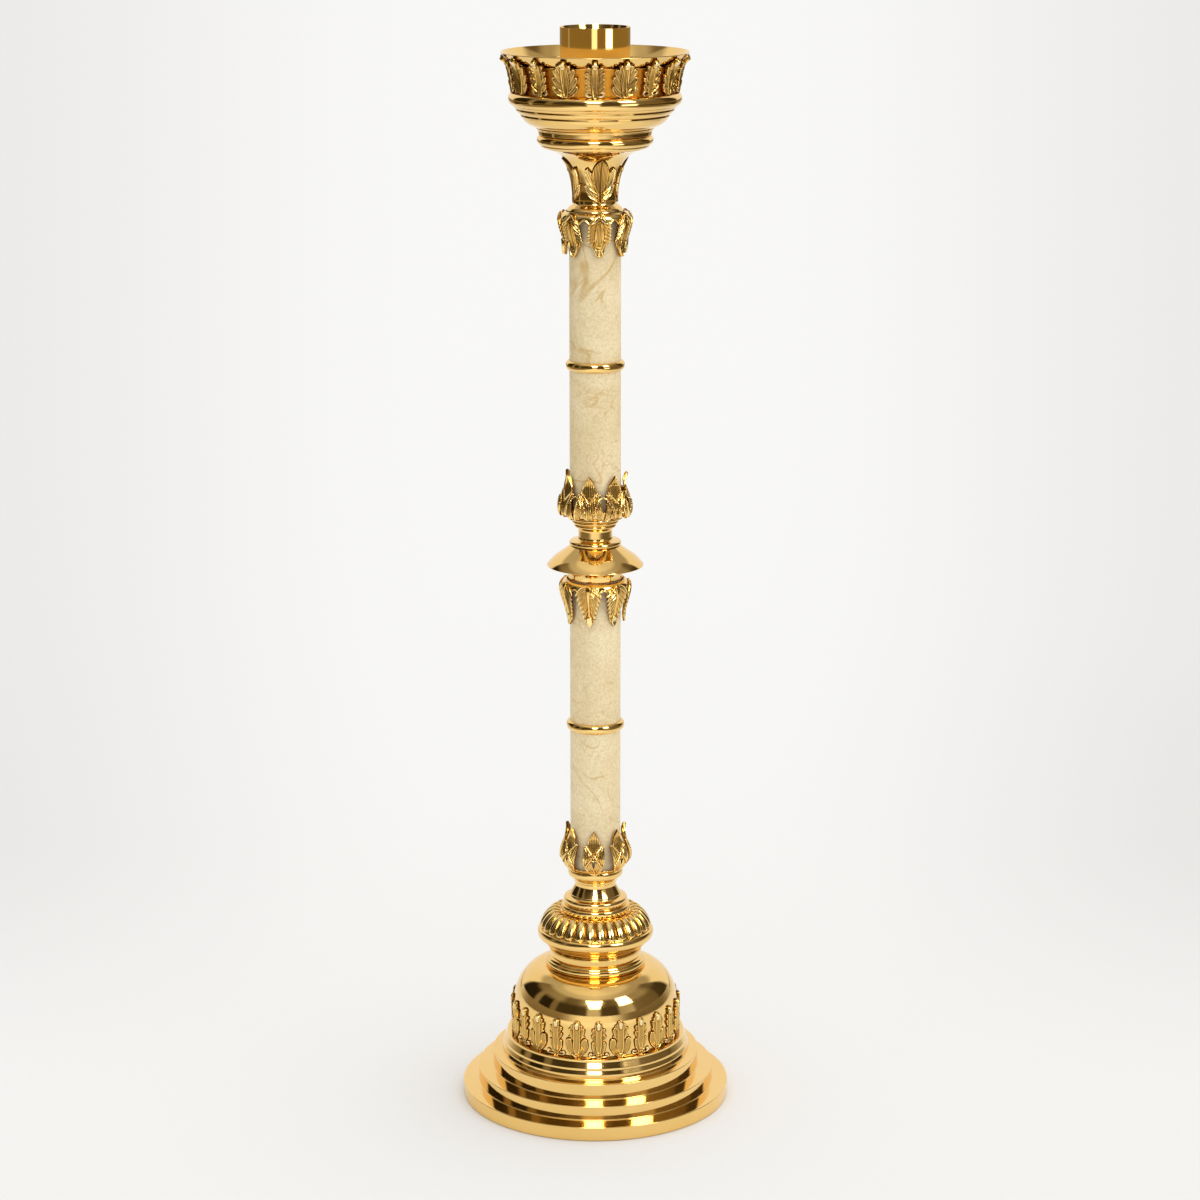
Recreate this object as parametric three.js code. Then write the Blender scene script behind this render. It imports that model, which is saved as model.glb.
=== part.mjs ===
import * as THREE from 'three';

// Paschal candlestick: turned brass, cast acanthus leaves and marble tubes threaded on one tie rod.
// Millimetres, +Z up, origin on the floor under the middle of the base, front towards -Y.

// Tie rod and its fastenings
const ROD_RADIUS = 5;
const ROD_FIT = 0.5;
const ROD_PAST_NUT = 1.2;
const NUT_FLATS = 17;
const NUT_HEIGHT = 8;
const WASHER_RADIUS = 14;
const WASHER_THICKNESS = 2;

// Gap round a piece that slips inside another
const NEST_FIT = 0.3;

// Closing plate, felt and weight under the base
const FELT_THICKNESS = 2;
const FELT_INSET = 3;
const PLATE_THICKNESS = 3;
const PLATE_LEDGE = 4;
const WELL_RADIUS = 24;
const WEIGHT_HEIGHT = 22;
const WEIGHT_FIT = 5.5;
const RIM_ABOVE_FLOOR = 0.4;

// Stepped base
const BASE_WALL = 5;
const FLANGE_RADIUS = 140;
const FLANGE_HEIGHT = 14;
const FLANGE_TREAD = 16;
const FLANGE_COVE = 5;
const SECOND_STEP_FACE = 12;
const SECOND_STEP_TREAD = 15.5;
const SECOND_STEP_COVE = 6.4;
const THIRD_STEP_FACE = 11.6;
const THIRD_STEP_TREAD = 11;
const THIRD_STEP_COVE = 3;
const BASE_BEAD_HEIGHT = 5;
const BASE_BEAD_SWELL = 2.5;
const DOME_RIM_TREAD = 3.5;
const DOME_RIM_COVE = 7.5;
const DOME_RIM_FACE = 5.2;

// Dome
const DOME_WALL = 3;
const DOME_SETBACK = 6.5;
const DOME_TAPER = 0.6;
const DOME_WALL_HEIGHT = 29;
const DOME_SHOULDER_HEIGHT = 44.5;
const DOME_TOP_RADIUS = 54;

// How full the narrow and the wide leaves of both galleries are towards the tip
const NARROW_ROUNDNESS = 1.5;
const WIDE_ROUNDNESS = 2.6;

// Leaf gallery round the dome
const DOME_LEAVES = 24;
const DOME_LEAF_HEIGHT = 40;
const DOME_LEAF_GAP_HEIGHT = 5;
const DOME_LEAF_THICKNESS = 1.4;
const DOME_LEAF_RELIEF = 1.6;
const DOME_LEAF_TIP_SHARE = 0.6;
const DOME_LEAF_TURN = 2.3;

// Spool on the dome
const DOME_SPOOL_FOOT_RADIUS = 53;
const DOME_SPOOL_FOOT_HEIGHT = 5.8;
const DOME_SPOOL_FOOT_ROUND = 5;
const DOME_SPOOL_NECK_RADIUS = 42.5;
const DOME_SPOOL_NECK_HEIGHT = 7.8;
const DOME_SPOOL_RING_CORE = 45.5;
const DOME_SPOOL_RING_SWELL = 2;
const DOME_SPOOL_RING_HEIGHT = 4.2;

// Gadrooned knop: plain bowl below, lobed cap above
const KNOP_FOOT_RADIUS = 44.5;
const KNOP_BOWL_RADIUS = 57.8;
const KNOP_BOWL_HEIGHT = 12.5;
const KNOP_TORUS_SWELL = 3.2;
const KNOP_TORUS_HEIGHT = 11;
const GADROON_COUNT = 30;
const GADROON_FOOT_RADIUS = 57.5;
const GADROON_CREST_RADIUS = 43.5;
const GADROON_HEIGHT = 19.4;
const GADROON_DEPTH = 2.6;
const GADROON_DIP = 1.9;
const GADROON_WALL = 5;

// Spool above the gadrooned knop
const LOWER_RING_RADIUS = 36;
const LOWER_RING_HEIGHT = 5;
const UPPER_RING_RADIUS = 33;
const UPPER_RING_HEIGHT = 4.5;
const RING_SWELL = 2;
const SHANK_NECK_RADIUS = 21.5;
const SHANK_COVE_HEIGHT = 19.5;
const SHANK_FILLET_RADIUS = 23.5;
const SHANK_FILLET_HEIGHT = 4;
const SHANK_FLARE_HEIGHT = 7;
const SHANK_TORUS_RADIUS = 30.5;
const SHANK_TORUS_SWELL = 2;
const SHANK_TORUS_HEIGHT = 8;

// Marble shaft
const MARBLE_RADIUS = 26;
const MARBLE_BORE_RADIUS = 8;
const MARBLE_LENGTH = 154.5;
const SHAFT_RING_SWELL = 3.7;
const SHAFT_RING_HEIGHT = 10;
const SHAFT_RING_WEB = 2;

// Leaf crowns that clasp the ends of the marble
const CROWN_LEAVES = 7;
const CROWN_HEIGHT = 45.5;
const CROWN_GAP_HEIGHT = 17;
const CALYX_GAP_HEIGHT = 9;
const CROWN_FOOT_RADIUS = 28.5;
const CROWN_BULGE_RADIUS = 36;
const CROWN_BULGE_HEIGHT = 9;
const CROWN_WAIST_RADIUS = 29;
const CROWN_WAIST_HEIGHT = 37;
const CROWN_TIP_RADIUS = 30.5;
const CROWN_LEAF_THICKNESS = 2.2;
const CROWN_RIB_RELIEF = 0.8;
const CROWN_ROUNDNESS = 1.4;
const BASE_CALYX_TURN = -3;
const MIDDLE_CROWN_TURN = -11.5;
const TOP_CROWN_TURN = 7.4;

// Disc-shaped knop between the two shafts
const DISC_COLLAR_RADIUS = 31;
const DISC_COLLAR_FOOT_RADIUS = 28.5;
const DISC_COLLAR_HEIGHT = 11;
const DISC_RADIUS = 49.4;
const DISC_UNDERSIDE_HEIGHT = 3.5;
const DISC_EDGE_HEIGHT = 2.5;
const DISC_TOP_RADIUS = 26;
const DISC_TOP_HEIGHT = 17.5;
const DISC_TOP_BULGE = 1.2;

// Neck above the disc-shaped knop
const NECKING_RING_SWELL = 3.4;
const NECKING_RING_CORE = 24.8;
const NECKING_RING_HEIGHT = 6;
const NECKING_COVE_RADIUS = 22.5;
const NECKING_RADIUS = 18.5;
const NECKING_COVE_HEIGHT = 6.7;
const NECKING_FLARE_RADIUS = 22.5;
const NECKING_FLARE_HEIGHT = 8.8;
const NECKING_LOWER_FILLET_RADIUS = 24.3;
const NECKING_LOWER_FILLET_HEIGHT = 4.5;
const NECKING_UPPER_FILLET_RADIUS = 30;
const NECKING_UPPER_FILLET_HEIGHT = 5;
const NECKING_FILLET_SWELL = 1.5;

// Trumpet neck under the bowl
const TRUMPET_FOOT_RADIUS = 28.5;
const TRUMPET_NECK_RADIUS = 22.7;
const TRUMPET_NECK_HEIGHT = 9.5;
const TRUMPET_MIDDLE_RADIUS = 27;
const TRUMPET_MIDDLE_HEIGHT = 39;
const TRUMPET_MOUTH_RADIUS = 50;
const TRUMPET_HEIGHT = 62.5;

// Acanthus leaves laid on the trumpet neck
const NECK_LEAVES = 4;
const NECK_LEAF_HEIGHT = 48;
const NECK_LEAF_HALF_WIDTH = 15.5;
const NECK_LEAF_THICKNESS = 2.4;
const NECK_LEAF_FOOT = 5;
const NECK_LEAF_FIT = 1.1;
const NECK_LEAF_TURN = 12.5;

// Bowl body
const BOWL_FOOT_CORE = 54.5;
const BOWL_FOOT_SWELL = 3.8;
const BOWL_FOOT_LEDGE = 3;
const BOWL_FOOT_TORUS = 10;
const BOWL_FOOT_FILLET = 4;
const BOWL_WALL = 3;
const BOWL_FILLET_RADIUS = 61;
const BOWL_FILLET_HEIGHT = 3;
const BOWL_BELLY_RADIUS = 76;
const BOWL_BELLY_HEIGHT = 14;
const BOWL_SHELF_RADIUS = 82;
const BOWL_SHELF_HEIGHT = 8;
const BOWL_RIM_INSET = 0.5;
const BOWL_RIM_SWELL = 4.8;
const BOWL_RIM_HEIGHT = 13;

// Drip pan, whose wall backs the leaf gallery
const PAN_WALL = 1.6;
const PAN_FLOOR_ABOVE_SHELF = 2;
const PAN_FLOOR_RADIUS = 68;
const PAN_SETBACK = 3;
const PAN_FLARE_REACH = 14.8;
const PAN_GALLERY_HEIGHT = 39.3;
const PAN_WALL_LEAN = 5;
const PAN_FLARE_HEIGHT = 11.3;

// Leaf gallery round the bowl
const BOWL_LEAVES = 18;
const BOWL_LEAF_HEIGHT = 37.3;
const BOWL_LEAF_GAP_HEIGHT = 6;
const BOWL_LEAF_THICKNESS = 1.6;
const BOWL_LEAF_RELIEF = 1.8;
const BOWL_LEAF_TIP_SHARE = 0;
const BOWL_LEAF_CURL = 0.6;

// Candle socket and the seat inside it
const SOCKET_RADIUS = 35;
const SOCKET_WALL = 2.3;
const SOCKET_HEIGHT = 72.4;
const SEAT_THICKNESS = 2;
const SEAT_HEADROOM = 2.8;
const SPACER_WALL = 4;

// Facets round the pieces and along their curves
const WIDE_STEPS = 24;
const KNOP_STEPS = 20;
const SHAFT_STEPS = 16;
const ROD_STEPS = 10;
const COLUMNS_PER_LEAF = 4;
const COLUMNS_PER_CROWN_LEAF = 6;
const COLUMNS_PER_GADROON = 3;
const LEAF_ROWS = 7;
const LEAF_COLUMNS = 4;

// Finishes
const POLISHED_BRASS = { color: 0xdba94f, roughness: 0.14, metalness: 1 };
const SATIN_BRASS = { color: 0xcf9c45, roughness: 0.38, metalness: 1 };
const MARBLE = { color: 0xdccfa6, roughness: 0.3, metalness: 0 };
const STEEL = { color: 0x8d9094, roughness: 0.45, metalness: 1 };
const CAST_IRON = { color: 0x3d3f41, roughness: 0.8, metalness: 0.6 };
const FELT = { color: 0x2f4a35, roughness: 0.95, metalness: 0 };

// Heights of the joints in the stack, from the floor up
const plateBottom = FELT_THICKNESS;
const plateTop = plateBottom + PLATE_THICKNESS;
const flangeTop = FLANGE_HEIGHT;
const secondStepFoot = flangeTop + FLANGE_COVE;
const secondStepTop = secondStepFoot + SECOND_STEP_FACE;
const thirdStepFoot = secondStepTop + SECOND_STEP_COVE;
const thirdStepTop = thirdStepFoot + THIRD_STEP_FACE;
const baseBeadFoot = thirdStepTop + THIRD_STEP_COVE;
const baseBeadTop = baseBeadFoot + BASE_BEAD_HEIGHT;
const domeRimFoot = baseBeadTop + DOME_RIM_COVE;
const domeFoot = domeRimFoot + DOME_RIM_FACE;
const domeTop = domeFoot + DOME_WALL_HEIGHT + DOME_SHOULDER_HEIGHT;
const domeSpoolHeight = DOME_SPOOL_FOOT_HEIGHT + DOME_SPOOL_NECK_HEIGHT + DOME_SPOOL_RING_HEIGHT;
const knopFoot = domeTop + domeSpoolHeight;
const knopBowlHeight = KNOP_BOWL_HEIGHT + KNOP_TORUS_HEIGHT;
const gadroonFoot = knopFoot + knopBowlHeight;
const shankFoot = gadroonFoot + GADROON_HEIGHT - GADROON_DIP;
const shankHeight = LOWER_RING_HEIGHT + UPPER_RING_HEIGHT + SHANK_COVE_HEIGHT
  + SHANK_FILLET_HEIGHT + SHANK_FLARE_HEIGHT + SHANK_TORUS_HEIGHT;
const shaftLength = 2 * MARBLE_LENGTH + SHAFT_RING_WEB;
const lowerShaftFoot = shankFoot + shankHeight;
const discFoot = lowerShaftFoot + shaftLength;
const discHeight = DISC_COLLAR_HEIGHT + DISC_UNDERSIDE_HEIGHT + DISC_EDGE_HEIGHT + DISC_TOP_HEIGHT;
const neckingFoot = discFoot + discHeight;
const neckingHeight = NECKING_RING_HEIGHT + NECKING_COVE_HEIGHT + NECKING_FLARE_HEIGHT
  + NECKING_LOWER_FILLET_HEIGHT + NECKING_UPPER_FILLET_HEIGHT;
const upperShaftFoot = neckingFoot + neckingHeight;
const trumpetFoot = upperShaftFoot + shaftLength;
const bowlFoot = trumpetFoot + TRUMPET_HEIGHT;
const bowlBodyFoot = bowlFoot + BOWL_FOOT_LEDGE + BOWL_FOOT_TORUS + BOWL_FOOT_FILLET;
const bowlBodyHeight = BOWL_FILLET_HEIGHT + BOWL_BELLY_HEIGHT + BOWL_SHELF_HEIGHT;
const bowlShelf = bowlBodyFoot + bowlBodyHeight;
const galleryFoot = bowlShelf + BOWL_RIM_HEIGHT;
const bowlRimCore = BOWL_SHELF_RADIUS - BOWL_RIM_INSET;
const panWallRadius = BOWL_SHELF_RADIUS - PAN_SETBACK;
const panLipRadius = panWallRadius + PAN_FLARE_REACH;
const panFloor = bowlShelf + PAN_FLOOR_ABOVE_SHELF;
const socketFoot = panFloor + PAN_WALL;
const socketFloorTop = socketFoot + SOCKET_WALL;
const rodTop = socketFloorTop + WASHER_THICKNESS + NUT_HEIGHT + ROD_PAST_NUT;
const wellDepth = WASHER_THICKNESS + NUT_HEIGHT;
const rodBottom = plateBottom - ROD_PAST_NUT;

// Radii that several pieces share
const rodHole = ROD_RADIUS + ROD_FIT;
const secondStepRadius = FLANGE_RADIUS - FLANGE_TREAD;
const thirdStepRadius = secondStepRadius - SECOND_STEP_TREAD;
const baseBeadCore = thirdStepRadius - THIRD_STEP_TREAD;
const domeRimRadius = baseBeadCore - DOME_RIM_TREAD;
const domeFootRadius = domeRimRadius - DOME_SETBACK;
const plateRadius = FLANGE_RADIUS - BASE_WALL - NEST_FIT;
const weightRadius = thirdStepRadius - BASE_WALL - WEIGHT_FIT;
const marbleSocketRadius = MARBLE_RADIUS + NEST_FIT;
const socketBore = SOCKET_RADIUS - SOCKET_WALL;
const seatRadius = socketBore - NEST_FIT;

const corner = (radius, height) => new THREE.Vector2(radius, height);

// Quarter round that leaves its start level and arrives at its end upright
function levelToUpright(start, end, steps) {
  const points = [];
  for (let step = 1; step <= steps; step += 1) {
    const angle = (step / steps) * Math.PI / 2;
    const radius = THREE.MathUtils.lerp(start.x, end.x, Math.sin(angle));
    const height = THREE.MathUtils.lerp(start.y, end.y, 1 - Math.cos(angle));
    points.push(corner(radius, height));
  }
  return points;
}

// Quarter round that leaves its start upright and arrives at its end level
function uprightToLevel(start, end, steps) {
  const points = [];
  for (let step = 1; step <= steps; step += 1) {
    const angle = (step / steps) * Math.PI / 2;
    const radius = THREE.MathUtils.lerp(start.x, end.x, 1 - Math.cos(angle));
    const height = THREE.MathUtils.lerp(start.y, end.y, Math.sin(angle));
    points.push(corner(radius, height));
  }
  return points;
}

// Half round that swells out from a core radius, both ends on the core
function bead(core, swell, bottom, height, steps) {
  const points = [];
  for (let step = 0; step <= steps; step += 1) {
    const angle = (step / steps) * Math.PI;
    points.push(corner(core + swell * Math.sin(angle), bottom + height * (1 - Math.cos(angle)) / 2));
  }
  return points;
}

// Radius at a height on a wall that swells smoothly from one knot to the next
function radiusThrough(knots, height) {
  const last = knots[knots.length - 1];
  if (height >= last.y) {
    return last.x;
  }
  const above = Math.max(1, knots.findIndex((knot) => knot.y >= height));
  const share = THREE.MathUtils.smoothstep(height, knots[above - 1].y, knots[above].y);
  return THREE.MathUtils.lerp(knots[above - 1].x, knots[above].x, share);
}

// Ring turned from an outline that runs up the outside and down the inside
function turned(outline, steps) {
  const geometry = new THREE.LatheGeometry([...outline, outline[0].clone()], steps);
  geometry.rotateX(Math.PI / 2);
  return geometry;
}

const washerShape = (outer, inner, bottom, top) => [
  corner(inner, bottom), corner(outer, bottom), corner(outer, top), corner(inner, top),
];

// Ring whose outline changes from column to column, starting at the front
function patterned(columns, outlineAt) {
  const positions = [];
  const indices = [];
  for (let column = 0; column < columns; column += 1) {
    const turn = 2 * Math.PI * column / columns;
    const outline = outlineAt(column);
    const next = (column + 1) % columns;
    outline.forEach((point, index) => {
      positions.push(point.x * Math.sin(turn), -point.x * Math.cos(turn), point.y);
      const after = (index + 1) % outline.length;
      const here = column * outline.length;
      const beside = next * outline.length;
      indices.push(here + index, beside + index, here + after);
      indices.push(beside + index, beside + after, here + after);
    });
  }
  const geometry = new THREE.BufferGeometry();
  geometry.setAttribute('position', new THREE.Float32BufferAttribute(positions, 3));
  geometry.setIndex(indices);
  return geometry;
}

// Border of a row of leaves: its height, and how far a column is up on the nearest leaf
function leafBorder(column, columnsPerLeaf, leaf, gapHeight) {
  const place = column % columnsPerLeaf;
  const offset = Math.min(place, columnsPerLeaf - place) / (columnsPerLeaf / 2);
  return {
    top: gapHeight + (leaf.height - gapHeight) * (1 - offset ** leaf.roundness),
    crest: 1 - offset * offset,
  };
}

function basePlateOutline() {
  const wellTop = plateTop + wellDepth;
  const wellWall = WELL_RADIUS + PLATE_THICKNESS;
  return [
    corner(WELL_RADIUS, plateBottom),
    corner(plateRadius, plateBottom),
    corner(plateRadius, plateTop),
    corner(wellWall, plateTop),
    corner(wellWall, wellTop),
    corner(rodHole, wellTop),
    corner(rodHole, plateBottom + wellDepth),
    corner(WELL_RADIUS, plateBottom + wellDepth),
  ];
}

function steppedBaseOutline() {
  const seatRadiusInside = domeRimRadius - 3 * BASE_WALL;
  const flangeEdge = corner(FLANGE_RADIUS, flangeTop);
  const secondFoot = corner(secondStepRadius, secondStepFoot);
  const secondEdge = corner(secondStepRadius, secondStepTop);
  const thirdFoot = corner(thirdStepRadius, thirdStepFoot);
  const thirdEdge = corner(thirdStepRadius, thirdStepTop);
  const beadFoot = corner(baseBeadCore, baseBeadFoot);
  const plateShoulder = plateRadius - PLATE_LEDGE;
  return [
    corner(FLANGE_RADIUS, RIM_ABOVE_FLOOR),
    flangeEdge,
    ...levelToUpright(flangeEdge, secondFoot, 2),
    secondEdge,
    ...levelToUpright(secondEdge, thirdFoot, 2),
    thirdEdge,
    ...levelToUpright(thirdEdge, beadFoot, 2).slice(0, -1),
    ...bead(baseBeadCore, BASE_BEAD_SWELL, baseBeadFoot, BASE_BEAD_HEIGHT, 3),
    corner(domeRimRadius, domeRimFoot),
    corner(domeRimRadius, domeFoot),
    corner(seatRadiusInside, domeFoot),
    corner(seatRadiusInside, domeFoot - BASE_WALL),
    corner(domeRimRadius - BASE_WALL, domeFoot - BASE_WALL),
    corner(domeRimRadius - BASE_WALL, thirdStepTop - BASE_WALL),
    corner(thirdStepRadius - BASE_WALL, thirdStepTop - BASE_WALL),
    corner(thirdStepRadius - BASE_WALL, secondStepTop - BASE_WALL),
    corner(secondStepRadius - BASE_WALL, secondStepTop - BASE_WALL),
    corner(secondStepRadius - BASE_WALL, flangeTop - BASE_WALL),
    corner(plateShoulder, flangeTop - BASE_WALL),
    corner(plateShoulder, plateTop),
    corner(FLANGE_RADIUS - BASE_WALL, plateTop),
    corner(FLANGE_RADIUS - BASE_WALL, RIM_ABOVE_FLOOR),
  ];
}

// Outside of the dome: a wall that leans in a little, then a quarter round over to the flat crest
function domeWallRadius(height) {
  if (height <= DOME_WALL_HEIGHT) {
    return domeFootRadius - DOME_TAPER * height / DOME_WALL_HEIGHT;
  }
  const share = Math.min(1, (height - DOME_WALL_HEIGHT) / DOME_SHOULDER_HEIGHT);
  const reach = domeFootRadius - DOME_TAPER - DOME_TOP_RADIUS;
  return DOME_TOP_RADIUS + reach * Math.sqrt(1 - share * share);
}

function domeOutline() {
  const shoulder = corner(domeWallRadius(DOME_WALL_HEIGHT), DOME_WALL_HEIGHT);
  const crest = corner(DOME_TOP_RADIUS, DOME_WALL_HEIGHT + DOME_SHOULDER_HEIGHT);
  const innerShoulder = corner(shoulder.x - DOME_WALL, shoulder.y);
  const innerCrest = corner(crest.x, crest.y - DOME_WALL);
  return [
    corner(domeWallRadius(0), 0),
    shoulder,
    ...uprightToLevel(shoulder, crest, 5),
    corner(rodHole, crest.y),
    corner(rodHole, innerCrest.y),
    ...uprightToLevel(innerShoulder, innerCrest, 2).reverse(),
    innerShoulder,
    corner(domeWallRadius(0) - DOME_WALL, 0),
  ];
}

// Leaves laid round a wall: the inside follows the wall and the outside has the leaf's relief
function leafGallery(wallRadius, leaves) {
  return patterned(leaves.count * COLUMNS_PER_LEAF, (column) => {
    const onNarrow = (column + COLUMNS_PER_LEAF / 2) % (2 * COLUMNS_PER_LEAF) < COLUMNS_PER_LEAF;
    const leaf = onNarrow ? leaves.narrow : leaves.wide;
    const border = leafBorder(column, COLUMNS_PER_LEAF, leaf, leaves.gapHeight);
    const outside = (share, relief) => {
      const height = border.top * share;
      const proud = leaves.thickness + leaf.relief * relief * border.crest;
      return corner(wallRadius(height) + NEST_FIT + proud + leaves.curl * share ** 3, height);
    };
    const tip = outside(1, leaves.tipShare);
    return [
      corner(wallRadius(0) + NEST_FIT, 0),
      outside(0, 1),
      outside(0.7, 1),
      tip,
      corner(tip.x - leaves.thickness, tip.y),
    ];
  });
}

const domeLeaves = {
  count: DOME_LEAVES,
  narrow: { height: DOME_LEAF_HEIGHT, roundness: NARROW_ROUNDNESS, relief: DOME_LEAF_RELIEF },
  wide: { height: DOME_LEAF_HEIGHT, roundness: WIDE_ROUNDNESS, relief: DOME_LEAF_RELIEF },
  gapHeight: DOME_LEAF_GAP_HEIGHT,
  thickness: DOME_LEAF_THICKNESS,
  tipShare: DOME_LEAF_TIP_SHARE,
  curl: 0,
};

function domeSpoolOutline() {
  const footTop = corner(DOME_SPOOL_FOOT_RADIUS - DOME_SPOOL_FOOT_ROUND, DOME_SPOOL_FOOT_HEIGHT);
  const neck = corner(DOME_SPOOL_NECK_RADIUS, DOME_SPOOL_FOOT_HEIGHT + DOME_SPOOL_NECK_HEIGHT / 2);
  const ringFoot = DOME_SPOOL_FOOT_HEIGHT + DOME_SPOOL_NECK_HEIGHT;
  return [
    corner(rodHole, 0),
    corner(DOME_SPOOL_FOOT_RADIUS, 0),
    ...uprightToLevel(corner(DOME_SPOOL_FOOT_RADIUS, 0), footTop, 3),
    ...levelToUpright(footTop, neck, 2),
    ...bead(DOME_SPOOL_RING_CORE, DOME_SPOOL_RING_SWELL, ringFoot, DOME_SPOOL_RING_HEIGHT, 3),
    corner(rodHole, domeSpoolHeight),
  ];
}

function knopBowlOutline() {
  return [
    corner(rodHole, 0),
    corner(KNOP_FOOT_RADIUS, 0),
    ...bead(KNOP_BOWL_RADIUS, KNOP_TORUS_SWELL, KNOP_BOWL_HEIGHT, KNOP_TORUS_HEIGHT, 4),
    corner(rodHole, knopBowlHeight),
  ];
}

// Lobes that fan out from the top of the knop, each one round across and drawn in at both ends
function gadroonCap() {
  return patterned(GADROON_COUNT * COLUMNS_PER_GADROON, (column) => {
    const lobe = Math.sin(Math.PI * ((column + 0.5) % COLUMNS_PER_GADROON) / COLUMNS_PER_GADROON);
    const crown = (share) => {
      const angle = share * Math.PI / 2;
      const groove = GADROON_DEPTH * (1 - lobe) * Math.sin(Math.PI * share) ** 0.5;
      const radius = THREE.MathUtils.lerp(GADROON_CREST_RADIUS, GADROON_FOOT_RADIUS, Math.cos(angle));
      const height = GADROON_HEIGHT * Math.sin(angle);
      return corner(radius - groove * Math.cos(angle), height - groove * Math.sin(angle));
    };
    const floor = GADROON_HEIGHT - GADROON_DIP;
    return [
      corner(GADROON_FOOT_RADIUS - GADROON_WALL, 0),
      crown(0),
      crown(0.5),
      crown(1),
      corner(LOWER_RING_RADIUS, floor),
      corner(rodHole + GADROON_WALL, floor),
      corner(rodHole + GADROON_WALL, floor - GADROON_WALL),
    ];
  });
}

function shankOutline() {
  const upperRingFoot = LOWER_RING_HEIGHT;
  const coveFoot = upperRingFoot + UPPER_RING_HEIGHT;
  const coveTop = coveFoot + SHANK_COVE_HEIGHT;
  const flareFoot = coveTop + SHANK_FILLET_HEIGHT;
  const torusFoot = flareFoot + SHANK_FLARE_HEIGHT;
  const torusCore = SHANK_TORUS_RADIUS - SHANK_TORUS_SWELL;
  const coveStart = corner(UPPER_RING_RADIUS - RING_SWELL, coveFoot);
  const neck = corner(SHANK_NECK_RADIUS, coveTop);
  return [
    corner(rodHole, 0),
    ...bead(LOWER_RING_RADIUS - RING_SWELL, RING_SWELL, 0, LOWER_RING_HEIGHT, 2),
    ...bead(UPPER_RING_RADIUS - RING_SWELL, RING_SWELL, upperRingFoot, UPPER_RING_HEIGHT, 2).slice(1),
    ...levelToUpright(coveStart, neck, 3),
    corner(SHANK_FILLET_RADIUS, flareFoot),
    ...bead(torusCore, SHANK_TORUS_SWELL, torusFoot, SHANK_TORUS_HEIGHT, 3),
    corner(rodHole, shankHeight),
  ];
}

function shaftRingOutline() {
  const web = SHAFT_RING_WEB / 2;
  const reach = SHAFT_RING_HEIGHT / 2;
  return [
    corner(MARBLE_BORE_RADIUS, -web),
    corner(marbleSocketRadius, -web),
    ...bead(marbleSocketRadius, SHAFT_RING_SWELL, -reach, SHAFT_RING_HEIGHT, 3),
    corner(marbleSocketRadius, web),
    corner(MARBLE_BORE_RADIUS, web),
  ];
}

const crownWall = [
  corner(CROWN_BULGE_RADIUS, CROWN_BULGE_HEIGHT),
  corner(CROWN_WAIST_RADIUS, CROWN_WAIST_HEIGHT),
  corner(CROWN_TIP_RADIUS, CROWN_HEIGHT),
];

// Outside of a crown: a round shoulder up to the bulge, then in to the waist and out to the tips
function crownRadius(height) {
  if (height >= CROWN_BULGE_HEIGHT) {
    return radiusThrough(crownWall, height);
  }
  const below = 1 - height / CROWN_BULGE_HEIGHT;
  return CROWN_FOOT_RADIUS + (CROWN_BULGE_RADIUS - CROWN_FOOT_RADIUS) * Math.sqrt(1 - below * below);
}

// Ring of pointed acanthus leaves round the end of the marble, upright or hanging
function crown(hanging, gapHeight) {
  const leaf = { height: CROWN_HEIGHT, roundness: CROWN_ROUNDNESS };
  return patterned(CROWN_LEAVES * COLUMNS_PER_CROWN_LEAF, (column) => {
    const border = leafBorder(column, COLUMNS_PER_CROWN_LEAF, leaf, gapHeight);
    const outside = (height) => {
      const rib = CROWN_RIB_RELIEF * border.crest * Math.sin(Math.PI * height / border.top);
      return corner(crownRadius(height) + rib, height);
    };
    const tip = outside(border.top);
    const shoulder = Math.min(CROWN_BULGE_HEIGHT, border.top / 2);
    const outline = [
      corner(marbleSocketRadius, 0),
      outside(0),
      outside(shoulder / 3),
      outside(shoulder),
      outside((shoulder + border.top) / 2),
      tip,
      corner(Math.max(tip.x - CROWN_LEAF_THICKNESS, marbleSocketRadius), tip.y),
    ];
    if (!hanging) {
      return outline;
    }
    return outline.map((point) => corner(point.x, -point.y)).reverse();
  });
}

function discKnopOutline() {
  const edgeFoot = corner(DISC_RADIUS - DISC_EDGE_HEIGHT / 2, DISC_COLLAR_HEIGHT + DISC_UNDERSIDE_HEIGHT);
  const brow = corner(edgeFoot.x, edgeFoot.y + DISC_EDGE_HEIGHT);
  return [
    corner(rodHole, 0),
    corner(DISC_COLLAR_FOOT_RADIUS, 0),
    corner(DISC_COLLAR_RADIUS, DISC_COLLAR_HEIGHT / 3),
    corner(DISC_COLLAR_RADIUS, DISC_COLLAR_HEIGHT),
    ...bead(edgeFoot.x, DISC_EDGE_HEIGHT / 2, edgeFoot.y, DISC_EDGE_HEIGHT, 2),
    corner((brow.x + DISC_TOP_RADIUS) / 2, brow.y + DISC_TOP_HEIGHT / 2 + DISC_TOP_BULGE),
    corner(DISC_TOP_RADIUS, discHeight),
    corner(rodHole, discHeight),
  ];
}

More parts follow.
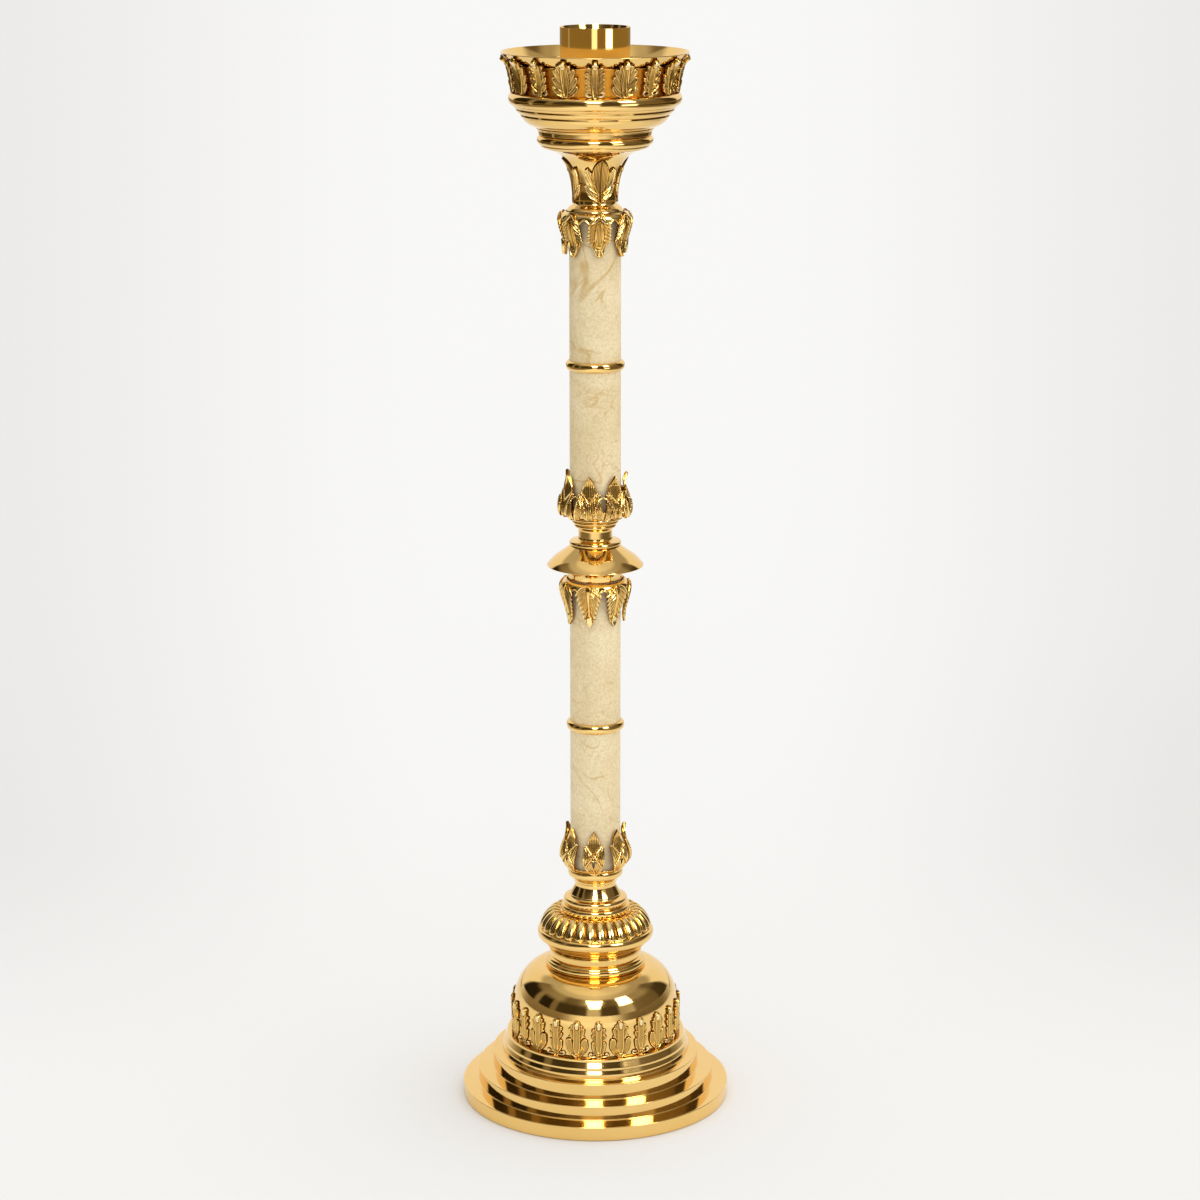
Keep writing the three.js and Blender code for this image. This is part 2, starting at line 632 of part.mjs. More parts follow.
function neckingOutline() {
  const coveTop = NECKING_RING_HEIGHT + NECKING_COVE_HEIGHT;
  const flareTop = coveTop + NECKING_FLARE_HEIGHT;
  const upperFillet = flareTop + NECKING_LOWER_FILLET_HEIGHT;
  const coveStart = corner(NECKING_COVE_RADIUS, NECKING_RING_HEIGHT);
  const lowerCore = NECKING_LOWER_FILLET_RADIUS - NECKING_FILLET_SWELL;
  const upperCore = NECKING_UPPER_FILLET_RADIUS - NECKING_FILLET_SWELL;
  return [
    corner(rodHole, 0),
    ...bead(NECKING_RING_CORE, NECKING_RING_SWELL, 0, NECKING_RING_HEIGHT, 3),
    coveStart,
    ...levelToUpright(coveStart, corner(NECKING_RADIUS, coveTop), 2),
    corner(NECKING_FLARE_RADIUS, flareTop),
    ...bead(lowerCore, NECKING_FILLET_SWELL, flareTop, NECKING_LOWER_FILLET_HEIGHT, 3).slice(1, -1),
    ...bead(upperCore, NECKING_FILLET_SWELL, upperFillet, NECKING_UPPER_FILLET_HEIGHT, 2),
    corner(rodHole, neckingHeight),
  ];
}

// Wall of the trumpet neck: a waist, a slow swell and then a quick flare to the mouth
function trumpetRadius(height) {
  if (height <= TRUMPET_NECK_HEIGHT) {
    const drop = 1 - height / TRUMPET_NECK_HEIGHT;
    return TRUMPET_NECK_RADIUS + (TRUMPET_FOOT_RADIUS - TRUMPET_NECK_RADIUS) * drop ** 2;
  }
  if (height <= TRUMPET_MIDDLE_HEIGHT) {
    const rise = (height - TRUMPET_NECK_HEIGHT) / (TRUMPET_MIDDLE_HEIGHT - TRUMPET_NECK_HEIGHT);
    return TRUMPET_NECK_RADIUS + (TRUMPET_MIDDLE_RADIUS - TRUMPET_NECK_RADIUS) * rise ** 1.5;
  }
  const flare = (height - TRUMPET_MIDDLE_HEIGHT) / (TRUMPET_HEIGHT - TRUMPET_MIDDLE_HEIGHT);
  return TRUMPET_MIDDLE_RADIUS + (TRUMPET_MOUTH_RADIUS - TRUMPET_MIDDLE_RADIUS) * flare ** 2.2;
}

const trumpetWall = [0, 0.06, 0.15, 0.4, 0.6, 0.72, 0.82, 0.91, 1].map((share) => {
  const height = share * TRUMPET_HEIGHT;
  return corner(trumpetRadius(height), height);
});

const trumpetOutline = [corner(rodHole, 0), ...trumpetWall, corner(rodHole, TRUMPET_HEIGHT)];

// Radius of the trumpet neck's facets at a height
function trumpetFacetRadius(height) {
  const above = Math.max(1, trumpetWall.findIndex((point) => point.y >= height));
  const lower = trumpetWall[above - 1];
  const upper = trumpetWall[above];
  return THREE.MathUtils.mapLinear(height, lower.y, upper.y, lower.x, upper.x);
}

// Half width of the five-lobed leaf at a share of its height, from foot to tip
const neckLeafLobes = [
  corner(0.3, 0), corner(0.62, 0.13), corner(0.96, 0.38), corner(0.52, 0.5),
  corner(1, 0.74), corner(0.4, 0.82), corner(0.06, 1),
];

// Leaf bent round the trumpet neck, thickest along its rib
function neckLeaf() {
  const positions = [];
  const indices = [];
  const rowLength = LEAF_COLUMNS + 1;
  const sideLength = (LEAF_ROWS + 1) * rowLength;
  const place = (row, column, proudShare) => {
    const share = row / LEAF_ROWS;
    const across = 2 * column / LEAF_COLUMNS - 1;
    const height = NECK_LEAF_FOOT + share * NECK_LEAF_HEIGHT;
    const width = NECK_LEAF_HALF_WIDTH * radiusThrough(neckLeafLobes, share);
    const rib = 1 - 0.5 * Math.abs(across);
    const radius = trumpetFacetRadius(height) + NECK_LEAF_FIT + NECK_LEAF_THICKNESS * rib * proudShare;
    const turn = across * width / (TRUMPET_NECK_RADIUS + NECK_LEAF_THICKNESS);
    positions.push(radius * Math.sin(turn), -radius * Math.cos(turn), height);
  };
  for (const proudShare of [1, 0]) {
    for (let row = 0; row <= LEAF_ROWS; row += 1) {
      for (let column = 0; column <= LEAF_COLUMNS; column += 1) {
        place(row, column, proudShare);
      }
    }
  }
  const quad = (a, b, c, d) => indices.push(a, b, c, a, c, d);
  for (let row = 0; row < LEAF_ROWS; row += 1) {
    for (let column = 0; column < LEAF_COLUMNS; column += 1) {
      const front = row * rowLength + column;
      const back = front + sideLength;
      quad(front, front + 1, front + rowLength + 1, front + rowLength);
      quad(back, back + rowLength, back + rowLength + 1, back + 1);
    }
    const left = row * rowLength;
    const right = left + LEAF_COLUMNS;
    quad(left, left + rowLength, left + rowLength + sideLength, left + sideLength);
    quad(right, right + sideLength, right + sideLength + rowLength, right + rowLength);
  }
  for (let column = 0; column < LEAF_COLUMNS; column += 1) {
    const top = LEAF_ROWS * rowLength + column;
    quad(column, column + sideLength, column + sideLength + 1, column + 1);
    quad(top, top + 1, top + 1 + sideLength, top + sideLength);
  }
  const geometry = new THREE.BufferGeometry();
  geometry.setAttribute('position', new THREE.Float32BufferAttribute(positions, 3));
  geometry.setIndex(indices);
  return geometry;
}

function bowlFootOutline() {
  const torusTop = BOWL_FOOT_LEDGE + BOWL_FOOT_TORUS;
  const top = torusTop + BOWL_FOOT_FILLET;
  return [
    corner(rodHole, 0),
    corner(BOWL_FOOT_CORE - BOWL_FOOT_LEDGE, 0),
    ...bead(BOWL_FOOT_CORE, BOWL_FOOT_SWELL, BOWL_FOOT_LEDGE, BOWL_FOOT_TORUS, 3),
    corner(BOWL_FOOT_CORE + BOWL_FOOT_SWELL / 2, torusTop),
    corner(BOWL_FOOT_CORE + BOWL_FOOT_SWELL, top),
    corner(rodHole, top),
  ];
}

function bowlBodyOutline() {
  const bellyFoot = corner(BOWL_FILLET_RADIUS, BOWL_FILLET_HEIGHT);
  const bellyTop = corner(BOWL_BELLY_RADIUS, BOWL_FILLET_HEIGHT + BOWL_BELLY_HEIGHT);
  const shelfFoot = corner((BOWL_BELLY_RADIUS + BOWL_SHELF_RADIUS) / 2, bellyTop.y + BOWL_SHELF_HEIGHT / 3);
  return [
    corner(rodHole, 0),
    corner(BOWL_FILLET_RADIUS, 0),
    bellyFoot,
    ...levelToUpright(bellyFoot, bellyTop, 3),
    shelfFoot,
    corner(BOWL_SHELF_RADIUS, shelfFoot.y + BOWL_SHELF_HEIGHT / 3),
    corner(BOWL_SHELF_RADIUS, bowlBodyHeight),
    corner(BOWL_SHELF_RADIUS - BOWL_WALL, bowlBodyHeight),
    corner(BOWL_BELLY_RADIUS - BOWL_WALL, bellyTop.y),
    corner(BOWL_FILLET_RADIUS - BOWL_WALL, bellyFoot.y),
    corner(rodHole, bellyFoot.y),
  ];
}

function bowlRimOutline() {
  const inner = panWallRadius + NEST_FIT;
  return [
    corner(inner, 0),
    ...bead(bowlRimCore, BOWL_RIM_SWELL, 0, BOWL_RIM_HEIGHT, 4),
    corner(inner, BOWL_RIM_HEIGHT),
  ];
}

// Line that the backs of the bowl's leaves follow, leaning out from the rim to the lip of the pan
function bowlLeafLine(height) {
  const share = THREE.MathUtils.clamp(height / PAN_GALLERY_HEIGHT, 0, 1);
  return panWallRadius + PAN_FLARE_REACH * (0.5 * share + 0.5 * share ** 2.4);
}

function dripPanOutline() {
  const galleryStart = galleryFoot - panFloor;
  const lip = galleryStart + PAN_GALLERY_HEIGHT;
  const flareFoot = lip - PAN_FLARE_HEIGHT;
  const floorEdge = corner(PAN_FLOOR_RADIUS, 0);
  const wallFoot = corner(panWallRadius, galleryStart);
  const innerFloorEdge = corner(PAN_FLOOR_RADIUS, PAN_WALL);
  const innerWallFoot = corner(panWallRadius - PAN_WALL, galleryStart);
  const crease = panWallRadius + PAN_WALL_LEAN;
  return [
    corner(rodHole, 0),
    floorEdge,
    ...levelToUpright(floorEdge, wallFoot, 2),
    corner(crease, flareFoot),
    corner(panLipRadius, lip),
    corner(panLipRadius - PAN_WALL, lip),
    corner(crease - PAN_WALL, flareFoot),
    innerWallFoot,
    ...uprightToLevel(innerWallFoot, innerFloorEdge, 2),
    corner(rodHole, PAN_WALL),
  ];
}

const bowlLeaves = {
  count: BOWL_LEAVES,
  narrow: { height: BOWL_LEAF_HEIGHT, roundness: NARROW_ROUNDNESS, relief: BOWL_LEAF_RELIEF },
  wide: { height: BOWL_LEAF_HEIGHT, roundness: WIDE_ROUNDNESS, relief: BOWL_LEAF_RELIEF },
  gapHeight: BOWL_LEAF_GAP_HEIGHT,
  thickness: BOWL_LEAF_THICKNESS,
  tipShare: BOWL_LEAF_TIP_SHARE,
  curl: BOWL_LEAF_CURL,
};

function socketOutline() {
  return [
    corner(rodHole, 0),
    corner(SOCKET_RADIUS, 0),
    corner(SOCKET_RADIUS, SOCKET_HEIGHT),
    corner(socketBore, SOCKET_HEIGHT),
    corner(socketBore, SOCKET_WALL),
    corner(rodHole, SOCKET_WALL),
  ];
}

// Inverted cup that covers the nut and carries the foot of the candle
function candleSeatOutline() {
  const underside = WASHER_THICKNESS + NUT_HEIGHT + ROD_PAST_NUT + SEAT_HEADROOM;
  const top = underside + SEAT_THICKNESS;
  return [
    corner(0, underside),
    corner(seatRadius - SEAT_THICKNESS, underside),
    corner(seatRadius - SEAT_THICKNESS, 0),
    corner(seatRadius, 0),
    corner(seatRadius, top),
    corner(0, top),
  ];
}

// Hexagon nut with a plain round hole
function nut() {
  const shape = new THREE.Shape();
  const cornerRadius = NUT_FLATS / Math.sqrt(3);
  for (let side = 0; side < 6; side += 1) {
    const turn = side * Math.PI / 3;
    const draw = side === 0 ? 'moveTo' : 'lineTo';
    shape[draw](cornerRadius * Math.cos(turn), cornerRadius * Math.sin(turn));
  }
  shape.closePath();
  const hole = new THREE.Path();
  hole.absarc(0, 0, rodHole, 0, 2 * Math.PI, true);
  shape.holes.push(hole);
  const options = { depth: NUT_HEIGHT, bevelEnabled: false, curveSegments: ROD_STEPS };
  return new THREE.ExtrudeGeometry(shape, options);
}

const group = new THREE.Group();

function add(name, geometry, finish, height, turn = 0) {
  const mesh = new THREE.Mesh(geometry, new THREE.MeshStandardMaterial(finish));
  mesh.name = name;
  mesh.position.z = height;
  mesh.rotation.z = THREE.MathUtils.degToRad(turn);
  group.add(mesh);
}

function addTurned(name, outline, finish, height, steps = KNOP_STEPS) {
  add(name, turned(outline, steps), finish, height);
}

// One marble shaft: two tubes with a ring between them
function addShaft(name, foot) {
  const tube = washerShape(MARBLE_RADIUS, MARBLE_BORE_RADIUS, 0, MARBLE_LENGTH);
  const ringMiddle = foot + MARBLE_LENGTH + SHAFT_RING_WEB / 2;
  addTurned(`${name}_shaft_bottom_tube`, tube, MARBLE, foot, SHAFT_STEPS);
  addTurned(`${name}_shaft_ring`, shaftRingOutline(), POLISHED_BRASS, ringMiddle, SHAFT_STEPS);
  addTurned(`${name}_shaft_top_tube`, tube, MARBLE, ringMiddle + SHAFT_RING_WEB / 2, SHAFT_STEPS);
}

const washer = washerShape(WASHER_RADIUS, rodHole, 0, WASHER_THICKNESS);
const feltOutline = washerShape(plateRadius - FELT_INSET, WELL_RADIUS + FELT_INSET, 0, FELT_THICKNESS);
const weightBore = WELL_RADIUS + PLATE_THICKNESS + FELT_INSET;
const weightOutline = washerShape(weightRadius, weightBore, 0, WEIGHT_HEIGHT);
const rodOutline = [
  corner(0, 0), corner(ROD_RADIUS, 0), corner(ROD_RADIUS, rodTop - rodBottom), corner(0, rodTop - rodBottom),
];
const spacerFoot = bowlBodyFoot + BOWL_FILLET_HEIGHT;
const spacer = washerShape(rodHole + SPACER_WALL, rodHole, 0, panFloor - spacerFoot);

addTurned('tie_rod', rodOutline, STEEL, rodBottom, ROD_STEPS);
addTurned('base_felt', feltOutline, FELT, 0, WIDE_STEPS);
addTurned('base_plate', basePlateOutline(), STEEL, 0, WIDE_STEPS);
addTurned('bottom_washer', washer, STEEL, plateBottom + NUT_HEIGHT, SHAFT_STEPS);
add('bottom_nut', nut(), STEEL, plateBottom);
addTurned('base_weight', weightOutline, CAST_IRON, plateTop);
addTurned('stepped_base', steppedBaseOutline(), POLISHED_BRASS, 0, WIDE_STEPS);

addTurned('dome', domeOutline(), POLISHED_BRASS, domeFoot, WIDE_STEPS);
const domeGallery = leafGallery(domeWallRadius, domeLeaves);
add('dome_leaf_gallery', domeGallery, SATIN_BRASS, domeFoot, DOME_LEAF_TURN);
addTurned('dome_spool', domeSpoolOutline(), POLISHED_BRASS, domeTop);

addTurned('knop_bowl', knopBowlOutline(), POLISHED_BRASS, knopFoot);
add('gadroon_cap', gadroonCap(), POLISHED_BRASS, gadroonFoot);
addTurned('shank_spool', shankOutline(), POLISHED_BRASS, shankFoot, SHAFT_STEPS);

add('base_calyx', crown(false, CALYX_GAP_HEIGHT), SATIN_BRASS, lowerShaftFoot, BASE_CALYX_TURN);
addShaft('lower', lowerShaftFoot);
add('middle_crown', crown(true, CROWN_GAP_HEIGHT), SATIN_BRASS, discFoot, MIDDLE_CROWN_TURN);
addTurned('disc_knop', discKnopOutline(), POLISHED_BRASS, discFoot);
addTurned('necking', neckingOutline(), POLISHED_BRASS, neckingFoot, SHAFT_STEPS);
add('middle_calyx', crown(false, CALYX_GAP_HEIGHT), SATIN_BRASS, upperShaftFoot, MIDDLE_CROWN_TURN);
addShaft('upper', upperShaftFoot);
add('top_crown', crown(true, CROWN_GAP_HEIGHT), SATIN_BRASS, trumpetFoot, TOP_CROWN_TURN);

addTurned('trumpet_neck', trumpetOutline, POLISHED_BRASS, trumpetFoot, SHAFT_STEPS);
for (let leaf = 0; leaf < NECK_LEAVES; leaf += 1) {
  const turn = NECK_LEAF_TURN + leaf * 360 / NECK_LEAVES;
  add(`neck_leaf_${leaf + 1}`, neckLeaf(), SATIN_BRASS, trumpetFoot, turn);
}

addTurned('bowl_foot', bowlFootOutline(), POLISHED_BRASS, bowlFoot);
addTurned('bowl_body', bowlBodyOutline(), POLISHED_BRASS, bowlBodyFoot, WIDE_STEPS);
addTurned('bowl_rim', bowlRimOutline(), POLISHED_BRASS, bowlShelf, WIDE_STEPS);
addTurned('pan_spacer', spacer, STEEL, spacerFoot, ROD_STEPS);
addTurned('drip_pan', dripPanOutline(), POLISHED_BRASS, panFloor, WIDE_STEPS);
const bowlGallery = leafGallery(bowlLeafLine, bowlLeaves);
add('bowl_leaf_gallery', bowlGallery, SATIN_BRASS, galleryFoot);

addTurned('candle_socket', socketOutline(), POLISHED_BRASS, socketFoot);
addTurned('top_washer', washer, STEEL, socketFloorTop, SHAFT_STEPS);
add('top_nut', nut(), STEEL, socketFloorTop + WASHER_THICKNESS);
addTurned('candle_seat', candleSeatOutline(), POLISHED_BRASS, socketFloorTop);

export default group;
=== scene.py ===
import math

import bpy
import numpy as np
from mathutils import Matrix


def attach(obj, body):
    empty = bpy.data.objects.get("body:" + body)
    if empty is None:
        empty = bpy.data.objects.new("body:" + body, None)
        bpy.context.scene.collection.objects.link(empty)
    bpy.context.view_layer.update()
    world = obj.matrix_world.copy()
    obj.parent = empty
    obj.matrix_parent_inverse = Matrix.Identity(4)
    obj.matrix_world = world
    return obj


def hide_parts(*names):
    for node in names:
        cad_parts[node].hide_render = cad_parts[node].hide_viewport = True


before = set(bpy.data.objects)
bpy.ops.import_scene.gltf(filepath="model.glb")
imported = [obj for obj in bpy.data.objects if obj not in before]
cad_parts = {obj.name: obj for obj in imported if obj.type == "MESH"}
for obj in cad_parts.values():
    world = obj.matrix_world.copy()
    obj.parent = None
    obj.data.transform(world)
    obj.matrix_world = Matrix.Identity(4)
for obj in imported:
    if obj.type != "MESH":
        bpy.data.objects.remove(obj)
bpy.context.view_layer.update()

MM = 0.001
FULL_TURN = 2 * math.pi
TURN_STEPS = 224
# Spacing in mm of the grid that leaves are worked out on
LEAF_CELL = 0.32 * 1


# Camera: the photograph's view, from a little above the bowl

CAMERA_PLACE = (0.0048, -3.185, 1.3321)
CAMERA_DIP = 14.015
CAMERA_LENS = 95.92
CAMERA_SENSOR = 36
CAMERA_REACH = 60

camera_data = bpy.data.cameras.new("camera")
camera_data.sensor_width = CAMERA_SENSOR
camera_data.lens = CAMERA_LENS
camera_data.clip_end = CAMERA_REACH
camera = bpy.data.objects.new("camera", camera_data)
camera.location = CAMERA_PLACE
camera.rotation_euler = (math.radians(90 - CAMERA_DIP), 0, 0)
bpy.context.scene.collection.objects.link(camera)
bpy.context.scene.camera = camera
bpy.context.scene.view_settings.view_transform = "Standard"


# Nodes that the materials and the studio share

def feed(tree, socket, value):
    """Link another socket to this one, or set it to a constant."""
    if isinstance(value, bpy.types.NodeSocket):
        tree.links.new(value, socket)
    else:
        socket.default_value = value


def new_node(tree, kind, **values):
    """New node, with an input fed for each of the values."""
    node = tree.nodes.new("ShaderNode" + kind)
    for name, value in values.items():
        feed(tree, node.inputs[name], value)
    return node


def new_material(name, metallic=0):
    material = bpy.data.materials.new(name)
    material.use_nodes = True
    tree = material.node_tree
    shader = tree.nodes["Principled BSDF"]
    shader.inputs["Metallic"].default_value = metallic
    return material, tree, shader


def object_point(tree, scale=(1, 1, 1), shift=(0, 0, 0)):
    place = new_node(tree, "TexCoord").outputs["Object"]
    return new_node(tree, "Mapping", Scale=scale, Location=shift, Vector=place).outputs["Vector"]


def axes_of(tree, kind):
    """The x, y and z of a kind of texture coordinate."""
    return new_node(tree, "SeparateXYZ", Vector=new_node(tree, "TexCoord").outputs[kind]).outputs


def noise(tree, vector, scale, detail=4.0, roughness=0.5, distortion=0.0):
    node = new_node(tree, "TexNoise", Vector=vector, Scale=scale, Detail=detail, Roughness=roughness,
                    Distortion=distortion)
    return node.outputs["Fac"]


def ramp(tree, factor, stops):
    node = new_node(tree, "ValToRGB", Fac=factor)
    elements = node.color_ramp.elements
    while len(elements) < len(stops):
        elements.new(0.5)
    for element, (place, color) in zip(elements, stops):
        element.position = place
        element.color = (*color, 1)
    return node.outputs["Color"]


def map_range(tree, value, ends=(0, 1), results=(0, 1), smooth=False):
    node = new_node(tree, "MapRange", Value=value)
    node.interpolation_type = "SMOOTHSTEP" if smooth else "LINEAR"
    for name, number in zip(("From Min", "From Max", "To Min", "To Max"), (*ends, *results)):
        node.inputs[name].default_value = number
    return node.outputs["Result"]


def mix(tree, amount, a, b, kind="RGBA", way="MIX"):
    """Mix of two colours, or of two numbers when the kind is FLOAT."""
    node = new_node(tree, "Mix")
    node.data_type = kind
    node.blend_type = way
    first, result = (6, 2) if kind == "RGBA" else (2, 0)
    for index, value in ((0, amount), (first, a), (first + 1, b)):
        feed(tree, node.inputs[index], value)
    return node.outputs[result]


def bump(tree, shader, height, strength, distance):
    node = new_node(tree, "Bump", Strength=strength, Distance=distance, Height=height)
    tree.links.new(node.outputs["Normal"], shader.inputs["Normal"])


def node_tools(tree):
    """For one tree: sums, smooth steps between two values or two angles, and blends of two colours."""
    def calculate(operation, a, b=None, clamp=False):
        node = new_node(tree, "Math")
        node.operation = operation
        node.use_clamp = clamp
        feed(tree, node.inputs[0], a)
        if b is not None:
            feed(tree, node.inputs[1], b)
        return node.outputs[0]

    def step(value, low, high):
        return map_range(tree, value, (low, high), smooth=True)

    def turn_step(value, low, high):
        return step(value, math.radians(low), math.radians(high))

    def blend(amount, a, b):
        return mix(tree, amount, a, b)

    return calculate, step, turn_step, blend


def axis_distance(calculate, x, y):
    return calculate("SQRT", calculate("ADD", calculate("MULTIPLY", x, x), calculate("MULTIPLY", y, y)))


# Materials

def paint(tree, shader, color, roughness):
    feed(tree, shader.inputs["Base Color"], color)
    feed(tree, shader.inputs["Roughness"], roughness)


def overlay(tree, socket, amount, value, kind="RGBA", way="MIX"):
    """Mix a colour or a number over what feeds a socket."""
    beneath = socket.links[0].from_socket
    tree.links.new(mix(tree, amount, beneath, value, kind, way), socket)


def polished_parts(name):
    """Polished brass, with fine turning marks round the axis and a few smears left by polishing."""
    material, tree, shader = new_material(name, metallic=1)
    point = object_point(tree)
    color = ramp(tree, noise(tree, point, 9, 3), [(0.3, (0.91, 0.60, 0.20)), (0.7, (0.96, 0.655, 0.245))])
    smears = noise(tree, point, 38, 5, 0.6)
    paint(tree, shader, color, map_range(tree, smears, results=(0.035, 0.11)))
    marks = noise(tree, object_point(tree, (0.02, 0.02, 1)), 2200, 2)
    bump(tree, shader, marks, 0.02, 0.0002)
    return material, tree, shader


def polished_brass(name):
    return polished_parts(name)[0]


def pan_brass(name):
    """Polished brass with a plain, unpolished band on the outside of the wall, behind the leaves."""
    material, tree, shader = polished_parts(name)
    calculate = node_tools(tree)[0]
    x, y, height = axes_of(tree, "Object")
    # The wall leans out from its foot, so its outside is what lies beyond a sloping line
    foot_height, foot_radius, lean, band_top = 1.055, 0.0784, 0.1786, 1.0828
    above_foot = calculate("SUBTRACT", height, foot_height)
    line = calculate("ADD", calculate("MULTIPLY", above_foot, lean), foot_radius)
    outside = calculate("GREATER_THAN", axis_distance(calculate, x, y), line)
    band = calculate("MULTIPLY", calculate("LESS_THAN", height, band_top), outside)
    grain = noise(tree, object_point(tree), 900, 4, 0.65)
    raw = ramp(tree, grain, [(0.3, (0.78, 0.32, 0.03)), (0.7, (0.97, 0.45, 0.055))])
    overlay(tree, shader.inputs["Base Color"], band, raw)
    overlay(tree, shader.inputs["Roughness"], band, 0.42, "FLOAT")
    return material


def relief_brass(name, colors, roughness, grain_scale, grain_strength):
    """Cast brass coloured by a tone kept on the mesh: dull and dark with painted shade where the tone is low,
    and bright with painted highlights where it is high.
    """
    material, tree, shader = new_material(name, metallic=1)
    attribute = new_node(tree, "Attribute")
    attribute.attribute_name = "relief"
    relief = attribute.outputs["Fac"]
    paint(tree, shader, ramp(tree, relief, colors), map_range(tree, relief, results=roughness))
    grain = noise(tree, object_point(tree), grain_scale, 3, 0.6)
    bump(tree, shader, grain, grain_strength, 0.0002)
    return material, tree, shader


def satin_brass(name):
    colors = [(0.0, (0.17, 0.06, 0.006)), (0.3, (0.50, 0.27, 0.045)), (0.5, (0.70, 0.43, 0.10)),
              (0.75, (0.90, 0.60, 0.19)), (1.0, (1.0, 0.82, 0.42))]
    material, tree, shader = relief_brass(name, colors, (0.26, 0.07), 900, 0.2)
    mottle = noise(tree, object_point(tree), 60, 4, 0.6)
    stains = ramp(tree, mottle, [(0.3, (0.72, 0.66, 0.55)), (0.7, (1, 1, 1))])
    overlay(tree, shader.inputs["Base Color"], 0.35, stains, way="MULTIPLY")
    return material


def cast_brass(name):
    colors = [(0.0, (0.20, 0.08, 0.008)), (0.3, (0.55, 0.28, 0.04)), (0.6, (0.84, 0.52, 0.13)),
              (1.0, (0.99, 0.76, 0.34))]
    return relief_brass(name, colors, (0.26, 0.06), 700, 0.12)[0]


def marble(name, seed):
    """Cream marble. Its veins are bundles of thin curved lines, where a flowing field crosses whole steps."""
    material, tree, shader = new_material(name)
    calculate = node_tools(tree)[0]
    point = object_point(tree, shift=(seed * 1.7, seed * 0.9, seed * 2.3))
    clouds = ramp(tree, noise(tree, point, 14, 6, 0.6, 0.6), [
        (0.3, (0.73, 0.59, 0.34)), (0.5, (0.83, 0.69, 0.43)), (0.7, (0.91, 0.80, 0.56))])
    grains = ramp(tree, noise(tree, point, 420, 3, 0.6), [(0.35, (0.86, 0.84, 0.79)), (0.6, (1, 1, 1))])
    color = mix(tree, 1.0, clouds, grains, way="MULTIPLY")
    for scale, steps, width, strength, tint in (
            (5.5, 17, 0.11, 0.85, (0.58, 0.37, 0.12, 1)),
            (11, 13, 0.12, 0.7, (0.60, 0.39, 0.14, 1)),
            (30, 5, 0.09, 0.5, (0.56, 0.36, 0.13, 1))):
        field = noise(tree, point, scale, 3, 0.5, 1.1)
        share = calculate("FRACT", calculate("MULTIPLY", field, steps))
        away = calculate("ABSOLUTE", calculate("SUBTRACT", share, 0.5))
        line = map_range(tree, away, (0, width), (strength, 0), smooth=True)
        # Veins show in patches only
        patch = map_range(tree, noise(tree, point, scale * 2.6, 3), (0.5, 0.66))
        color = mix(tree, calculate("MULTIPLY", line, patch), color, tint)
    paint(tree, shader, color, 0.42)
    shader.inputs["Specular IOR Level"].default_value = 0.25
    bump(tree, shader, noise(tree, point, 300, 4, 0.6), 0.05, 0.0003)
    return material


def plain_metal(name, color, roughness, grain_scale):
    material, tree, shader = new_material(name, metallic=1)
    tone = noise(tree, object_point(tree), grain_scale, 5, 0.6)
    dark = tuple(0.75 * value for value in color)
    uneven = map_range(tree, tone, results=(roughness * 0.8, roughness * 1.2))
    paint(tree, shader, ramp(tree, tone, [(0.3, dark), (0.7, color)]), uneven)
    bump(tree, shader, tone, 0.2, 0.0003)
    return material


def felt_material(name):
    material, tree, shader = new_material(name)
    fibres = noise(tree, object_point(tree), 700, 6, 0.7, 1.5)
    color = ramp(tree, fibres, [(0.3, (0.012, 0.035, 0.018)), (0.7, (0.04, 0.09, 0.05))])
    paint(tree, shader, color, 0.95)
    bump(tree, shader, fibres, 0.6, 0.0006)
    return material


BRASS = polished_brass("polished_brass")
SATIN = satin_brass("satin_brass")
CAST = cast_brass("cast_brass")
PAN = pan_brass("pan_brass")
MARBLES = [marble(f"marble_{index}", index) for index in range(4)]
STEEL = plain_metal("steel", (0.55, 0.56, 0.58), 0.4, 160)
IRON = plain_metal("cast_iron", (0.12, 0.12, 0.125), 0.8, 240)
FELT = felt_material("felt")


# Curves and meshes

def smooth_through(knots, count=10):
    """Curve through knots, with the knots' slopes taken from their neighbours."""
    knots = np.array(knots, float)
    slopes = np.gradient(knots, axis=0)
    points = []
    for index in range(len(knots) - 1):
        for step in range(count):
            t = step / count
            start = (2 * t ** 3 - 3 * t ** 2 + 1) * knots[index] + (t ** 3 - 2 * t ** 2 + t) * slopes[index]
            end = (3 * t ** 2 - 2 * t ** 3) * knots[index + 1] + (t ** 3 - t ** 2) * slopes[index + 1]
            points.append(tuple(start + end))
    points.append(tuple(knots[-1]))
    return points


def run_lengths(curve):
    """Distance along a curve at each of its points."""
    return np.concatenate([[0], np.cumsum(np.linalg.norm(np.diff(curve, axis=0), axis=1))])


def unit_slopes(curve):
    slopes = np.gradient(curve, axis=0)
    return slopes / np.linalg.norm(slopes, axis=1)[:, None]


def smooth_step(value, low, high):
    share = np.clip((value - low) / (high - low), 0, 1)
    return share * share * (3 - 2 * share)


def round_axis(r, z, turn):
    """Place in metres of a point at r and z mm, turned round the axis."""
    return r * math.cos(turn) * MM, r * math.sin(turn) * MM, z * MM


def ring_faces(rows, count):
    """Faces of rows of points that close both round the axis and from the last row to the first."""
    faces = []
    for row in range(rows):
        after = (row + 1) % rows
        for step in range(count):
            beside = (step + 1) % count
            low, high = row * count, after * count
            faces.append((low + step, low + beside, high + beside, high + step))
    return faces


